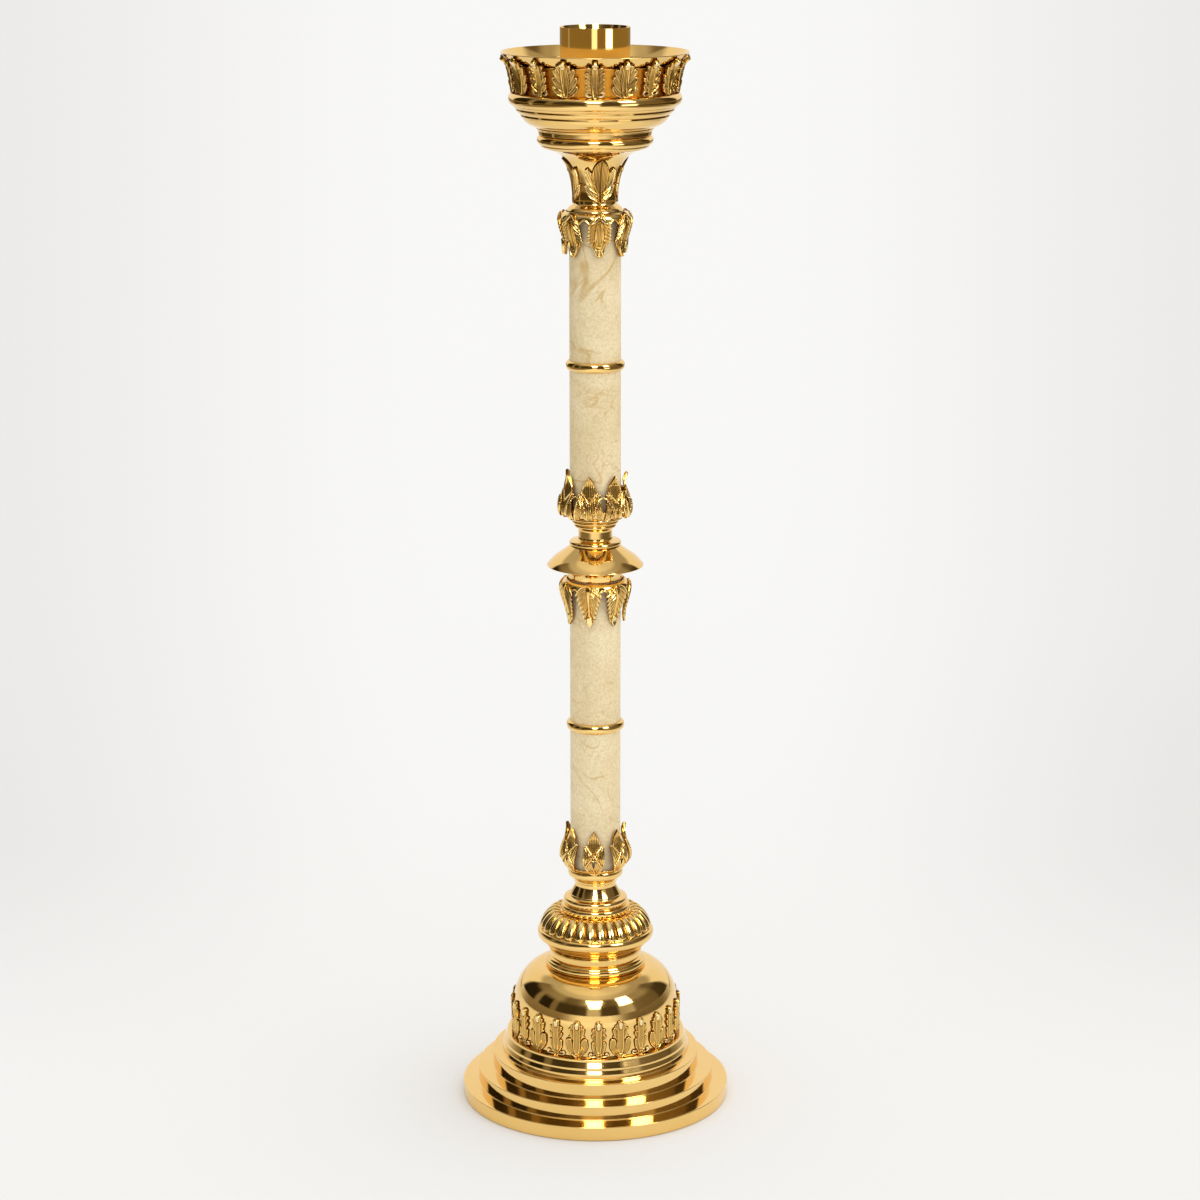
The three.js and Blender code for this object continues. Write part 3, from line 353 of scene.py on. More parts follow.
def make_mesh(name, vertices, faces, relief=None, smooth=True):
    mesh = bpy.data.meshes.new(name)
    corners = np.concatenate(faces).astype(np.int32)
    ends = np.cumsum([len(face) for face in faces])
    mesh.vertices.add(len(vertices))
    mesh.vertices.foreach_set("co", np.asarray(vertices, np.float32).ravel())
    mesh.loops.add(len(corners))
    mesh.loops.foreach_set("vertex_index", corners)
    mesh.polygons.add(len(faces))
    mesh.polygons.foreach_set("loop_start", np.concatenate([[0], ends[:-1]]).astype(np.int32))
    if relief is not None:
        layer = mesh.attributes.new("relief", "FLOAT", "POINT")
        layer.data.foreach_set("value", np.clip(relief, 0, 1).astype(np.float32))
    mesh.update(calc_edges=True)
    mesh.validate()
    mesh.polygons.foreach_set("use_smooth", [smooth] * len(mesh.polygons))
    mesh.update()
    return mesh


def show(name, mesh, material, node):
    mesh.materials.append(material)
    piece = bpy.data.objects.new(name, mesh)
    bpy.context.scene.collection.objects.link(piece)
    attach(piece, "root")
    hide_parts(node)


# Turned pieces

BEAD_STEPS = 18
ARC_STEPS = 14


def outline(start, *moves):
    """Points of a turned outline in mm, and which of them are corners. A move is (r, z) for a line, or
    a name and its values: bead to a height with a swell, over from upright to level, under from level
    to upright, arc to a point with a rise, and through a list of points."""
    points = [start]
    corners = [True]
    shares = [step / ARC_STEPS for step in range(1, ARC_STEPS + 1)]
    for move in moves:
        r0, z0 = points[-1]
        kind, values = move[0], move[1:]
        curve = []
        if kind == "bead":
            top, swell = values
            for step in range(1, BEAD_STEPS + 1):
                angle = math.pi * step / BEAD_STEPS
                height = (top - z0) * (1 - math.cos(angle)) / 2
                curve.append((r0 + swell * math.sin(angle), z0 + height))
        elif kind in ("over", "under"):
            r1, z1 = values
            for share in shares:
                angle = math.pi / 2 * share
                ways = [1 - math.cos(angle), math.sin(angle)]
                across, up = ways if kind == "over" else reversed(ways)
                curve.append((r0 + (r1 - r0) * across, z0 + (z1 - z0) * up))
        elif kind == "arc":
            r1, z1, rise = values
            dr, dz = r1 - r0, z1 - z0
            length = math.hypot(dr, dz)
            for share in shares:
                push = rise * 4 * share * (1 - share) / length
                curve.append((r0 + dr * share + dz * push, z0 + dz * share - dr * push))
        elif kind == "through":
            curve = values[0]
        else:
            curve = [move]
        points.extend(curve)
        corners.extend([False] * (len(curve) - 1) + [True])
    return points, corners


def softened(points, corners, radius):
    """The outline with its corners rounded, and with a point close to each end of a rounding."""
    least_turn = math.radians(14)
    most_of_side = 0.42
    close_by = 1.6
    out = []
    total = len(points)
    for index in range(total):
        here = np.array(points[index], float)
        into = here - np.array(points[index - 1], float)
        away = np.array(points[(index + 1) % total], float) - here
        long_in, long_out = np.linalg.norm(into), np.linalg.norm(away)
        if long_in < 1e-6 or long_out < 1e-6:
            continue
        into, away = into / long_in, away / long_out
        turn = math.acos(max(-1, min(1, float(into @ away))))
        if turn < least_turn or not corners[index] or here[0] < 0.5:
            out.append(tuple(here))
            continue
        cut = min(radius, most_of_side * long_in, most_of_side * long_out)
        start, end = here - into * cut, here + away * cut
        if long_in > 4 * cut:
            out.append(tuple(here - into * cut * close_by))
        for share in (0, 0.2, 0.4, 0.6, 0.8, 1):
            a = start + (here - start) * share
            b = here + (end - here) * share
            out.append(tuple(a + (b - a) * share))
        if long_out > 4 * cut:
            out.append(tuple(here + away * cut * close_by))
    return out


def turned(node, moves, material=BRASS, radius=0.45, steps=TURN_STEPS):
    """Ring or solid turned round the axis, from moves that run up the outside and down the inside."""
    profile = np.array(softened(*outline(*moves), radius)) * MM
    turns = np.arange(steps) * FULL_TURN / steps
    ring = np.stack([np.cos(turns), np.sin(turns)], 1)
    vertices = []
    rows = []
    for r, z in profile:
        if r < 1e-6:
            rows.append([len(vertices)] * steps)
            vertices.append((0, 0, z))
        else:
            rows.append(list(range(len(vertices), len(vertices) + steps)))
            vertices.extend((r * c, r * s, z) for c, s in ring)
    faces = []
    total = len(profile)
    for row in range(total):
        low, high = rows[row], rows[(row + 1) % total]
        for step in range(steps):
            beside = (step + 1) % steps
            # Where the outline meets the axis, the face has three corners
            corners = list(dict.fromkeys([low[step], low[beside], high[beside], high[step]]))
            if len(corners) > 2:
                faces.append(corners)
    show(f"visual_{node}", make_mesh(node, vertices, faces), material, node)


# Heights in mm at which the pieces of the stack meet, and the bore that the tie rod runs through
BORE = 5.5
DOME_FOOT = 69.7
DOME_TOP = 143.2
KNOP_FOOT = 161
KNOP_RIM = 184.5
KNOP_TOP = 202
LOWER_SHAFT = 250
DISC_FOOT = 561
NECKING_FOOT = 595.5
UPPER_SHAFT = 626.5
TRUMPET_FOOT = 937.5
TRUMPET_TOP = 1000
BOWL_FOOT_TOP = 1017
BOWL_FLOOR = 1020
BOWL_SHELF = 1042
PAN_FOOT = 1044
PAN_FLOOR = 1045.6
SOCKET_FLOOR = 1047.9
PAN_WALL_FOOT = 1055
SOCKET_TOP = 1118

turned("stepped_base", (
    (134, 0.4), (139.5, 0.4), (140, 1), (140, 14.8), (124.6, 16), (124, 16.6), (124, 31), (109.1, 32.2),
    (108.5, 32.8), (108.5, 48.8), (99.2, 49.9), (98.6, 50.6), (98.6, 55.2), (96.5, 59.4), (96.5, 61.2),
    (93.4, 67.4), (93.2, DOME_FOOT), (76, DOME_FOOT), (76, 64.7), (89, 64.7), (89, 44), (103.5, 44),
    (103.5, 26), (119, 26), (119, 9), (131, 9), (131, 5), (135, 5), (135, 0.4)), radius=0.7)

DOME_SPRING = 98.7
DOME_FLAT = 54


def dome_arc(wall, rise, angles):
    """Quarter of an ellipse from the dome's wall to its flat top."""
    return [(DOME_FLAT + wall * math.cos(angle), DOME_SPRING + rise * math.sin(angle)) for angle in angles]


dome_curve = dome_arc(32.9, DOME_TOP - DOME_SPRING, [math.pi / 2 * step / 28 for step in range(1, 29)])
dome_inside = dome_arc(29.9, 41.5, np.linspace(math.pi / 2, 0, 12))
turned("dome", (
    (87.5, DOME_FOOT), ("through", [(86.9, DOME_SPRING)] + dome_curve), (BORE, DOME_TOP),
    (BORE, DOME_TOP - 3), ("through", dome_inside), (84.5, DOME_FOOT)))
turned("dome_spool", (
    (BORE, DOME_TOP), (50, DOME_TOP), ("bead", 151, 2.6), ("arc", 46, 154.4, 0.5), (46, 155.6), (48.2, 155.8),
    (48.5, KNOP_FOOT), (BORE, KNOP_FOOT)), radius=0.25)
turned("knop_bowl", (
    (BORE, KNOP_FOOT), (48.5, KNOP_FOOT), (48.4, 161.8), (46.4, 162.4), (46.8, 164), ("arc", 57.5, 173.5, 1),
    ("bead", KNOP_RIM, 3.5), (BORE, KNOP_RIM)), radius=0.25)
turned("shank_spool", (
    (BORE, KNOP_TOP), (34, KNOP_TOP), ("bead", 210.2, 2.2), (31.8, 210.5), (31.6, 211.4),
    ("bead", 218.2, 1.8), (28, 219), ("arc", 26.4, 221.6, -0.4), (21.7, 230.2), (21.4, 231), (21.5, 234.8),
    (22.6, 235.3), (22.9, 237), ("arc", 25.6, 240, -0.5), (26, 240.8), (27.1, 241.6),
    ("bead", LOWER_SHAFT, 1.7), (BORE, LOWER_SHAFT)))
turned("disc_knop", (
    (BORE, DISC_FOOT), (27.8, DISC_FOOT), (28, 562.5), ("arc", 32, 572.2, -0.9), (44.5, 573.6), (49.1, 574.6),
    (49.4, 575.1), ("arc", 38.6, 586.2, 0.7), ("arc", 25.6, 595.4, -0.2), (BORE, NECKING_FOOT)), radius=0.2)
turned("necking", (
    (BORE, NECKING_FOOT), (24.2, NECKING_FOOT), ("bead", 601, 2.3), (22.6, 601.2), ("under", 17.6, 603.6),
    (17.4, 604.4), (17.4, 610.8), ("over", 20.4, 614.8), (20.6, 615.2), ("bead", 618.2, 0.9), (21.6, 618.4),
    (22.6, 619.2), ("bead", 622.4, 1.1), (24.4, 622.6), (27.2, 623.8), ("bead", UPPER_SHAFT, 1.2),
    (BORE, UPPER_SHAFT)), radius=0.3)

trumpet_knots = [
    (28.2, 938.3), (26.3, 941), (23.7, 943), (21.8, 945), (21.2, 947.5), (21.1, 952), (21.2, 957),
    (21.9, 964), (23.2, 970), (24.8, 976), (27.1, 982.5), (30.8, 988.6), (36, 993.4),
    (42.5, 997), (50, 999.4)]
turned("trumpet_neck", (
    (BORE, TRUMPET_FOOT), (28.5, TRUMPET_FOOT), ("through", smooth_through(trumpet_knots, 6)),
    (50, TRUMPET_TOP), (BORE, TRUMPET_TOP)))
turned("bowl_foot", (
    (BORE, TRUMPET_TOP), (51.5, TRUMPET_TOP), ("under", 54.5, 1003.2), ("bead", 1012.4, 3.6), (55.2, 1012.6),
    (56.6, 1013.2), (57, BOWL_FOOT_TOP), (BORE, BOWL_FOOT_TOP)), radius=0.25)
turned("bowl_body", (
    (BORE, BOWL_FOOT_TOP), (57.2, BOWL_FOOT_TOP), (57.6, 1018.2), ("bead", 1020.4, 1), (60.8, 1020.6),
    (61.6, 1021.4), ("arc", 73.2, 1031.2, 1.9), (74.3, 1031.4), (74.5, 1033.6), ("arc", 78.2, 1037.2, 0.7),
    (79.2, 1037.4), (79.4, 1039.4), ("arc", 82, BOWL_SHELF, 0.4), (79, BOWL_SHELF), (71, 1034),
    (55, BOWL_FLOOR), (BORE, BOWL_FLOOR)), radius=0.22)
turned("bowl_rim", (
    (79.3, BOWL_SHELF), (81.5, BOWL_SHELF), ("bead", PAN_WALL_FOOT, 4.8), (79.3, PAN_WALL_FOOT)))
turned("drip_pan", (
    (BORE, PAN_FOOT), (68, PAN_FOOT), ("under", 79, PAN_WALL_FOOT), (84, 1083), ("arc", 92.9, 1092.8, 0.3),
    ("arc", 92.6, 1094.3, 0.7), ("arc", 82.4, 1083, -0.3), (77.4, PAN_WALL_FOOT), ("over", 68, PAN_FLOOR),
    (BORE, PAN_FLOOR)), PAN, radius=0.35)
turned("candle_socket", (
    (BORE, PAN_FLOOR), (35, PAN_FLOOR), (35, SOCKET_TOP), (34.5, SOCKET_TOP), (32.7, 1112.6),
    (32.7, SOCKET_FLOOR), (BORE, SOCKET_FLOOR)), radius=0.3)
turned("candle_seat", (
    (0, 1061.9), (30.4, 1061.9), (30.4, SOCKET_FLOOR), (32.4, SOCKET_FLOOR), (32.4, 1063.9), (0, 1063.9)))


# Inside and underneath: plate, felt, weight, spacer, rod, washers and nuts

WASHER = 14

turned("base_plate", (
    (24, 2), (134.7, 2), (134.7, 5), (27, 5), (27, 15), (BORE, 15), (BORE, 12), (24, 12)), STEEL)
turned("base_felt", ((27, 0), (131.7, 0), (131.7, 2), (27, 2)), FELT, radius=0.6)
turned("base_weight", ((30, 5), (98, 5), (98, 27), (30, 27)), IRON, radius=1.5)
turned("pan_spacer", (
    (BORE, BOWL_FLOOR), (9.5, BOWL_FLOOR), (9.5, PAN_FOOT), (BORE, PAN_FOOT)), STEEL, steps=48)
for place, low in (("bottom", 10), ("top", SOCKET_FLOOR)):
    washer = ((BORE, low), (WASHER, low), (WASHER, low + 2), (BORE, low + 2))
    turned(f"{place}_washer", washer, STEEL, steps=64)
turned("tie_rod", (
    (0, 0.8), (4.3, 0.8), (5, 1.5), (5, 1058.4), (4.3, 1059.1), (0, 1059.1)), STEEL, steps=48)


# Shafts

def shaft(name, foot, marbles):
    """Two tubes of marble with a brass ring between them."""
    bore, wall, length, ring_seat = 8, 26, 154.5, 26.2
    middle = foot + length + 1
    for part, low, stone in (("bottom_tube", foot, marbles[0]), ("top_tube", middle + 1, marbles[1])):
        tube = ((bore, low), (wall, low), (wall, low + length), (bore, low + length))
        turned(f"{name}_shaft_{part}", tube, stone, radius=0.3)
    turned(f"{name}_shaft_ring", (
        (bore, middle - 1), (ring_seat, middle - 1), (ring_seat, middle - 5), ("bead", middle + 5, 3.7),
        (ring_seat, middle + 1), (bore, middle + 1)), radius=0.2)


shaft("lower", LOWER_SHAFT, MARBLES[:2])
shaft("upper", UPPER_SHAFT, MARBLES[2:])


# Nuts

def hexagon_nut(node, low):
    """Nut with its corners turned off at both ends."""
    height, half_flats, corner_radius, face_radius, turned_off = 8, 8.5, 9.8, 8.2, 0.9
    count = 48
    top = low + height
    rings = ((BORE, low), (face_radius, low), (corner_radius, low + turned_off),
             (corner_radius, top - turned_off), (face_radius, top), (BORE, top))
    vertices = []
    for r, z in rings:
        for step in range(count):
            turn = FULL_TURN * step / count
            flat = half_flats / math.cos((turn + math.pi / 6) % (math.pi / 3) - math.pi / 6)
            vertices.append(round_axis(min(r, flat), z, turn))
    mesh = make_mesh(node, vertices, ring_faces(len(rings), count), smooth=False)
    show(f"visual_{node}", mesh, STEEL, node)


hexagon_nut("bottom_nut", 2)
hexagon_nut("top_nut", SOCKET_FLOOR + 2)


# Gadrooned cap: round lobes that fan out over the knop's shoulder

def gadroon_cap():
    lobes = 30
    deepest = 2.7
    across = 24
    count = lobes * across
    knots = [(57.5, KNOP_RIM), (58.4, 186.6), (57.6, 189.6), (55.6, 193.6), (52.8, 197.6), (49.4, 201.2),
             (46, 203.3), (43.5, 203.9), (40.4, 203.4), (37.6, 202.4), (36, KNOP_TOP)]
    curve = np.array(smooth_through(knots, 5))
    slopes = unit_slopes(curve)
    normals = np.stack([slopes[:, 1], -slopes[:, 0]], 1)
    turns = [FULL_TURN * (step + 0.5) / count - math.pi / 2 for step in range(count)]
    vertices, relief = [], []
    for row, (point, normal) in enumerate(zip(curve, normals)):
        share = row / (len(curve) - 1)
        depth = deepest * min(1, share / 0.06) * min(1, (1 - share) / 0.1)
        # Toward the foot each lobe closes in a round end
        closing = max(0.0, 1 - share / 0.2)
        width = max(0.08, math.sqrt(1 - closing ** 2))
        for step, turn in enumerate(turns):
            offset = abs(((step + 0.5) % across) / across * 2 - 1)
            edge = min(1.0, offset / width)
            sink = depth * (0.62 * edge ** 2 + 0.38 * edge ** 5)
            r, z = point - normal * sink
            vertices.append(round_axis(r, z, turn))
            # Painted highlight along each lobe's crest, and painted shade down in the grooves
            relief.append(0.95 - 0.9 * (sink / deepest) ** 0.8)
    inside = ((BORE + 5, KNOP_TOP), (BORE + 5, 197.5), (52.5, KNOP_RIM))
    # The hidden inside is painted dark, as shade
    for r, z in inside:
        vertices.extend(round_axis(r, z, turn) for turn in turns)
        relief.extend([0.2] * count)
    faces = ring_faces(len(curve) + len(inside), count)
    mesh = make_mesh("gadroon_cap", vertices, faces, relief)
    show("visual_gadroon_cap", mesh, CAST, "gadroon_cap")


gadroon_cap()


# Acanthus leaves: overlapping lobes worked out on a fine grid, then bent along a profile

# A smooth lobe has no raised rim, no hollow behind it and no ribs
SMOOTH = dict(rim=0, dish=0, ribs=0)
EDGE_ROUNDING = 0.55
RIM_MIDDLE, RIM_HALF_WIDTH = 0.6, 0.36
RIM_INSIDE = (0.75, 1.6)
GROOVE_HALF_WIDTH = 0.45
# How far out a lobe presses on the one beneath it, and how much that one dips and gets a painted shadow there
PRESS_REACH, PRESS_DIP, PRESS_PAINTED_SHADOW = 0.75, 0.35, 0.85
# Tone of the points just round a leaf's border: a dark edge of painted shade
BORDER_PAINTED_SHADE = 0.12
# How the skirt of a leaf seated in its wall runs: how far out from the border, and how proud
SEATED_SKIRT = ((0.1, 0.12), (0.75, 0.1), (0.95, -0.5))
FREE_BACK_SHARE = 0.75
# Tone of the back and skirt of a free leaf: painted shade
SHADED_BACK_TONE = 0.3


def lobe(points, widths, lift=(0.4, 0.8), edge=0.7, rim=0.35, dish=0.3, ribs=1.5, depth=0.2, groove=0.0,
         tone=0.45, mirror=True):
    """A lobe's spine in mm (across, along) and its widths from root to tip. lift is how far root and tip
    stand off, edge the rounding at the border, rim the height of its raised border, dish the hollow behind
    that, ribs the spacing of the veins, depth their depth, and groove the depth of the line in the middle.
    tone is how bright the lobe is painted, and a tone of 1 is a painted highlight."""
    spine = np.array(smooth_through(points, 8) if len(points) > 2 else points, float)
    length = run_lengths(spine)
    along = np.linspace(0, 1, max(10, int(length[-1] / 0.7)))
    places = np.stack([np.interp(along * length[-1], length, spine[:, axis]) for axis in (0, 1)], 1)
    stations = list(zip(np.linspace(0, 1, len(widths)), widths))
    if len(stations) > 2:
        stations = smooth_through(stations, 6)
    stations = np.array(stations, float)
    halves = np.interp(along, stations[:, 0], stations[:, 1]) / 2
    return dict(places=places, tangents=unit_slopes(places), halves=halves, along=along, length=length[-1],
                lift=lift, edge=edge, rim=rim, dish=dish, ribs=ribs, depth=depth, groove=groove, tone=tone,
                mirror=mirror)


def middle_lobe(points, widths, lift, **form):
    return lobe(points, widths, lift, mirror=False, **form)


def over_lobe(one, side, x, s):
    """At each point of the grid: its distance outside the lobe's border, the height and the tone that the
    lobe has there, and the height that the lobe starts from."""
    dx = side * x[..., None] - one["places"][:, 0]
    ds = s[..., None] - one["places"][:, 1]
    gaps = np.hypot(dx, ds) - one["halves"]
    pick = np.argmin(gaps, axis=-1)

    def picked(field):
        return np.take_along_axis(field, pick[..., None], -1)[..., 0]

    gap, dx, ds = picked(gaps), picked(dx), picked(ds)
    tx, ts = one["tangents"][pick, 0], one["tangents"][pick, 1]
    ahead = dx * tx + ds * ts
    beside = ds * tx - dx * ts
    along = np.clip(one["along"][pick] + ahead / one["length"], 0, 1)
    inward = np.maximum(0, -gap)
    rounding = np.sqrt(np.clip(1 - (1 - np.clip(inward / EDGE_ROUNDING, 0, 1)) ** 2, 0, 1))
    inside_rim = smooth_step(inward, *RIM_INSIDE)
    rim = one["rim"] * np.exp(-((inward - RIM_MIDDLE) / RIM_HALF_WIDTH) ** 2)
    veins = one["depth"] * np.cos(2 * math.pi * beside / one["ribs"]) * inside_rim if one["ribs"] else 0
    middle = -one["groove"] * np.exp(-(beside / GROOVE_HALF_WIDTH) ** 2) * inside_rim
    base = one["lift"][0] + (one["lift"][1] - one["lift"][0]) * smooth_step(along, 0, 1)
    height = base + one["edge"] * rounding + rim - one["dish"] * inside_rim + veins + middle
    # Rims and ribs get painted highlights, and grooves and borders get painted shade
    tone = one["tone"] + 0.5 * rim / 0.35 + 1.3 * veins + 1.2 * middle - 0.22 * (1 - rounding)
    return gap, height, tone, base


def leaf_surface(lobes):
    """One leaf lying flat, with later lobes on top of earlier ones: points (across, along, proud), their
    tones, faces, and for each point the direction out over the border."""
    cell = LEAF_CELL
    reach = max(float(np.max(np.abs(one["places"][:, 0]) + one["halves"])) for one in lobes) + 2 * cell
    low = min(float(np.min(one["places"][:, 1] - one["halves"])) for one in lobes) - 2 * cell
    high = max(float(np.max(one["places"][:, 1] + one["halves"])) for one in lobes) + 2 * cell
    columns = 2 * int(math.ceil(reach / cell)) + 1
    x, s = np.meshgrid((np.arange(columns) - columns // 2) * cell, np.arange(low, high + cell, cell))
    outside = np.full(x.shape, 99.0)
    covered = np.zeros(x.shape, bool)
    proud, nearest = np.zeros(x.shape), np.zeros(x.shape)
    tone = np.full(x.shape, 0.3)
    for one in lobes:
        for side in (1, -1) if one["mirror"] else (1,):
            gap, height, color, base = over_lobe(one, side, x, s)
            within = gap < 0
            # Beside a lobe that lies on top, the one beneath dips and gets a painted shadow
            beneath = np.exp(-(np.maximum(gap, 0) / PRESS_REACH) ** 2) * covered
            proud = np.where(within, height, proud - PRESS_DIP * beneath)
            tone = np.where(within, color, tone * (1 - PRESS_PAINTED_SHADOW * beneath))
            nearest = np.where(~within & ~covered & (gap < outside), base, nearest)
            covered |= within
            outside = np.minimum(outside, gap)
    proud = np.where(covered, proud, nearest)
    tone = np.where(covered, tone, BORDER_PAINTED_SHADE)
    # Points just outside are drawn in onto the border, so that it runs smoothly
    slope_s, slope_x = np.gradient(outside, cell)
    size = np.maximum(0.3, np.hypot(slope_x, slope_s))
    out_x, out_s = slope_x / size, slope_s / size
    move = np.where((outside > 0) & (outside < 1.6 * cell), outside, 0)
    x = x - move * out_x
    s = s - move * out_s
    inside = outside < 0
    corners = inside[:-1, :-1] | inside[1:, :-1] | inside[:-1, 1:] | inside[1:, 1:]
    rows, across = np.nonzero(corners)
    width = outside.shape[1]
    first = rows * width + across
    quads = np.stack([first, first + 1, first + width + 1, first + width], 1)
    used, indices = np.unique(quads, return_inverse=True)
    flat = [field.ravel()[used] for field in (x, s, proud, tone, out_x, out_s)]
    return np.stack(flat[:3], 1), flat[3], indices.reshape(-1, 4), np.stack(flat[4:], 1)


def border_edges(quads):
    edges = np.concatenate([quads[:, [0, 1]], quads[:, [1, 2]], quads[:, [2, 3]], quads[:, [3, 0]]])
    key = np.sort(edges, axis=1)
    _, first, counts = np.unique(key, axis=0, return_index=True, return_counts=True)
    return edges[first[counts == 1]]


def closed_leaf(surface, thickness):
    """The flat leaf with a skirt, as arrays of across, along, proud and tone, and its faces. A leaf with a
    thickness gets a back too, and back and skirt are painted in shade. One without is seated in the wall,
    with a dark line round it of patina in the joint and painted shadow."""
    points, tones, quads, outward = surface
    edges = border_edges(quads)
    rim, packed = np.unique(edges, return_inverse=True)
    packed = packed.reshape(-1, 2)
    x, s, proud = points.T
    if thickness is None:
        # The skirt of a seated leaf has tone 0: a dark line of patina in the joint and painted shadow
        skirt = [(reach, np.full(len(rim), level), 0.0) for reach, level in SEATED_SKIRT]
    else:
        back = proud * FREE_BACK_SHARE - thickness
        skirt = [(0.0, back[rim], SHADED_BACK_TONE)]
    layers = [(x, s, proud, tones)]
    faces = [quads]
    upper, start = edges, len(x)
    for reach, level, tone in skirt:
        place = x[rim] + reach * outward[rim, 0], s[rim] + reach * outward[rim, 1]
        layers.append((*place, level, np.full(len(rim), tone)))
        lower = packed + start
        faces.append(np.stack([upper[:, 1], upper[:, 0], lower[:, 0], lower[:, 1]], 1))
        upper = lower
        start += len(rim)
    if thickness is not None:
        layers.append((x, s, back, np.full(len(x), SHADED_BACK_TONE)))
        faces.append(quads[:, ::-1] + start)
    return [np.concatenate(field) for field in zip(*layers)], np.concatenate(faces)


class Gathering:
    """Gathers leaves and rings, then makes one mesh of them."""

    def __init__(self):
        self.vertices, self.relief, self.faces, self.count = [], [], [], 0

    def add(self, vertices, relief, faces):
        self.vertices.append(vertices)
        self.relief.append(relief)
        self.faces.append(faces + self.count)
        self.count += len(vertices)

    def leaf(self, surface, profile, turns, thickness=None, hangs=False):
        """Lay a leaf along a profile (r, z), once for each turn. The profile of a hanging leaf runs down."""
        (x, s, proud, relief), faces = closed_leaf(surface, thickness)
        flip = -1 if hangs else 1
        if hangs:
            faces = faces[:, ::-1]
        curve = np.array(smooth_through(profile, 12), float)
        length = run_lengths(curve)
        slopes = unit_slopes(curve)
        place = [np.interp(s, length, curve[:, axis]) for axis in (0, 1)]
        slope = [np.interp(s, length, slopes[:, axis]) for axis in (0, 1)]
        # Past the profile's ends the leaf runs straight on
        beyond = np.clip(s, None, 0) + np.clip(s - length[-1], 0, None)
        base_r = place[0] + beyond * slope[0]
        r = base_r + proud * flip * slope[1]
        z = place[1] + beyond * slope[1] - proud * flip * slope[0]
        for turn in turns:
            angle = x / base_r + turn - math.pi / 2
            self.add(np.stack([r * np.cos(angle), r * np.sin(angle), z], 1) * MM, relief, faces)

    def finish(self, node, material):
        vertices = np.concatenate(self.vertices)
        mesh = make_mesh(node, vertices, np.concatenate(self.faces), np.concatenate(self.relief))
        show(f"visual_{node}", mesh, material, node)


def gallery(node, leaves, line, pairs, first_degrees, thickness=None):
    """Ring of leaves of two kinds by turns."""
    work = Gathering()
    for index, leaf in enumerate(leaves):
        first = math.radians(first_degrees + 180 / pairs * index)
        turns = [first + FULL_TURN * step / pairs for step in range(pairs)]
        work.leaf(leaf, line, turns, thickness)
    work.finish(node, SATIN)


narrow_leaf = leaf_surface([
    lobe([(0.5, 1.3), (4.2, 1.3), (8.2, 1.6), (9.7, 3.2), (8.7, 4.9), (7.3, 4.4)], [2.4, 2.0, 1.9, 2.4],
         (0.5, 1.0), ribs=0, tone=0.7),
    middle_lobe([(0, 1.5), (0, 9), (0, 16)], [6, 8, 6], (0.4, 0.7), ribs=1.3),
    lobe([(1.2, 3.5), (3.8, 9.0), (4.7, 15.4)], [3.0, 5.4, 5.6], (0.5, 1.2), ribs=1.3, depth=0.28),
    lobe([(1.0, 16.5), (3.4, 20.8), (5.2, 23.8)], [3.4, 4.6, 4.6], (0.6, 1.4), ribs=1.2),
    lobe([(1.0, 22.5), (3.2, 27.0), (4.8, 29.8)], [3.4, 4.6, 4.6], (0.7, 1.5), ribs=1.2),
    middle_lobe([(0, 7), (0, 22), (0, 35.9)], [4.4, 7.0, 6.4, 6.8, 7.8], (0.8, 1.8), ribs=1.35, depth=0.3),
    middle_lobe([(0, 32.4), (0, 35.9)], [3.4, 4.4], (1.9, 2.4), edge=1.0, tone=1.0, **SMOOTH),
])

wide_leaf = leaf_surface([
    middle_lobe([(0, 1.5), (0, 9), (0, 16)], [7, 11, 9], (0.4, 0.6), ribs=1.3),
    lobe([(1.2, 1.2), (4.8, 5.4), (7.9, 11.5), (8.2, 17.8)], [3.2, 5.8, 7.2, 6.4],
         (0.5, 1.6), ribs=1.35, depth=0.3),
    lobe([(2.4, 21.2), (5.0, 22.6), (7.4, 22.8)], [2.4, 2.8, 2.0], (0.6, 1.2), ribs=0, tone=0.8),
    lobe([(1.0, 17), (4.0, 24.0), (5.9, 30.0)], [3.6, 5.8, 5.2], (0.6, 1.7), ribs=1.3, depth=0.28),
    lobe([(1.0, 26.5), (3.2, 31.4), (4.6, 34.0)], [3.2, 3.8, 3.2], (0.9, 1.7), ribs=0, tone=0.6),
    middle_lobe([(0, 5), (0, 22), (0, 35.8)], [4.6, 8.0, 7.2, 7.2, 7.8], (0.8, 1.9), ribs=1.35, depth=0.3),
    middle_lobe([(0, 32.2), (0, 35.6)], [3.4, 4.4], (2.0, 2.5), edge=1.0, tone=1.0, **SMOOTH),
])

dome_line = [(87.5, 70), (87.2, 80), (86.95, 92), (86.9, 98.7), (86.75, 102), (86.3, 106),
             (85.6, 109.5), (84.6, 113)]
gallery("dome_leaf_gallery", (narrow_leaf, wide_leaf), dome_line, 12, 2.3)

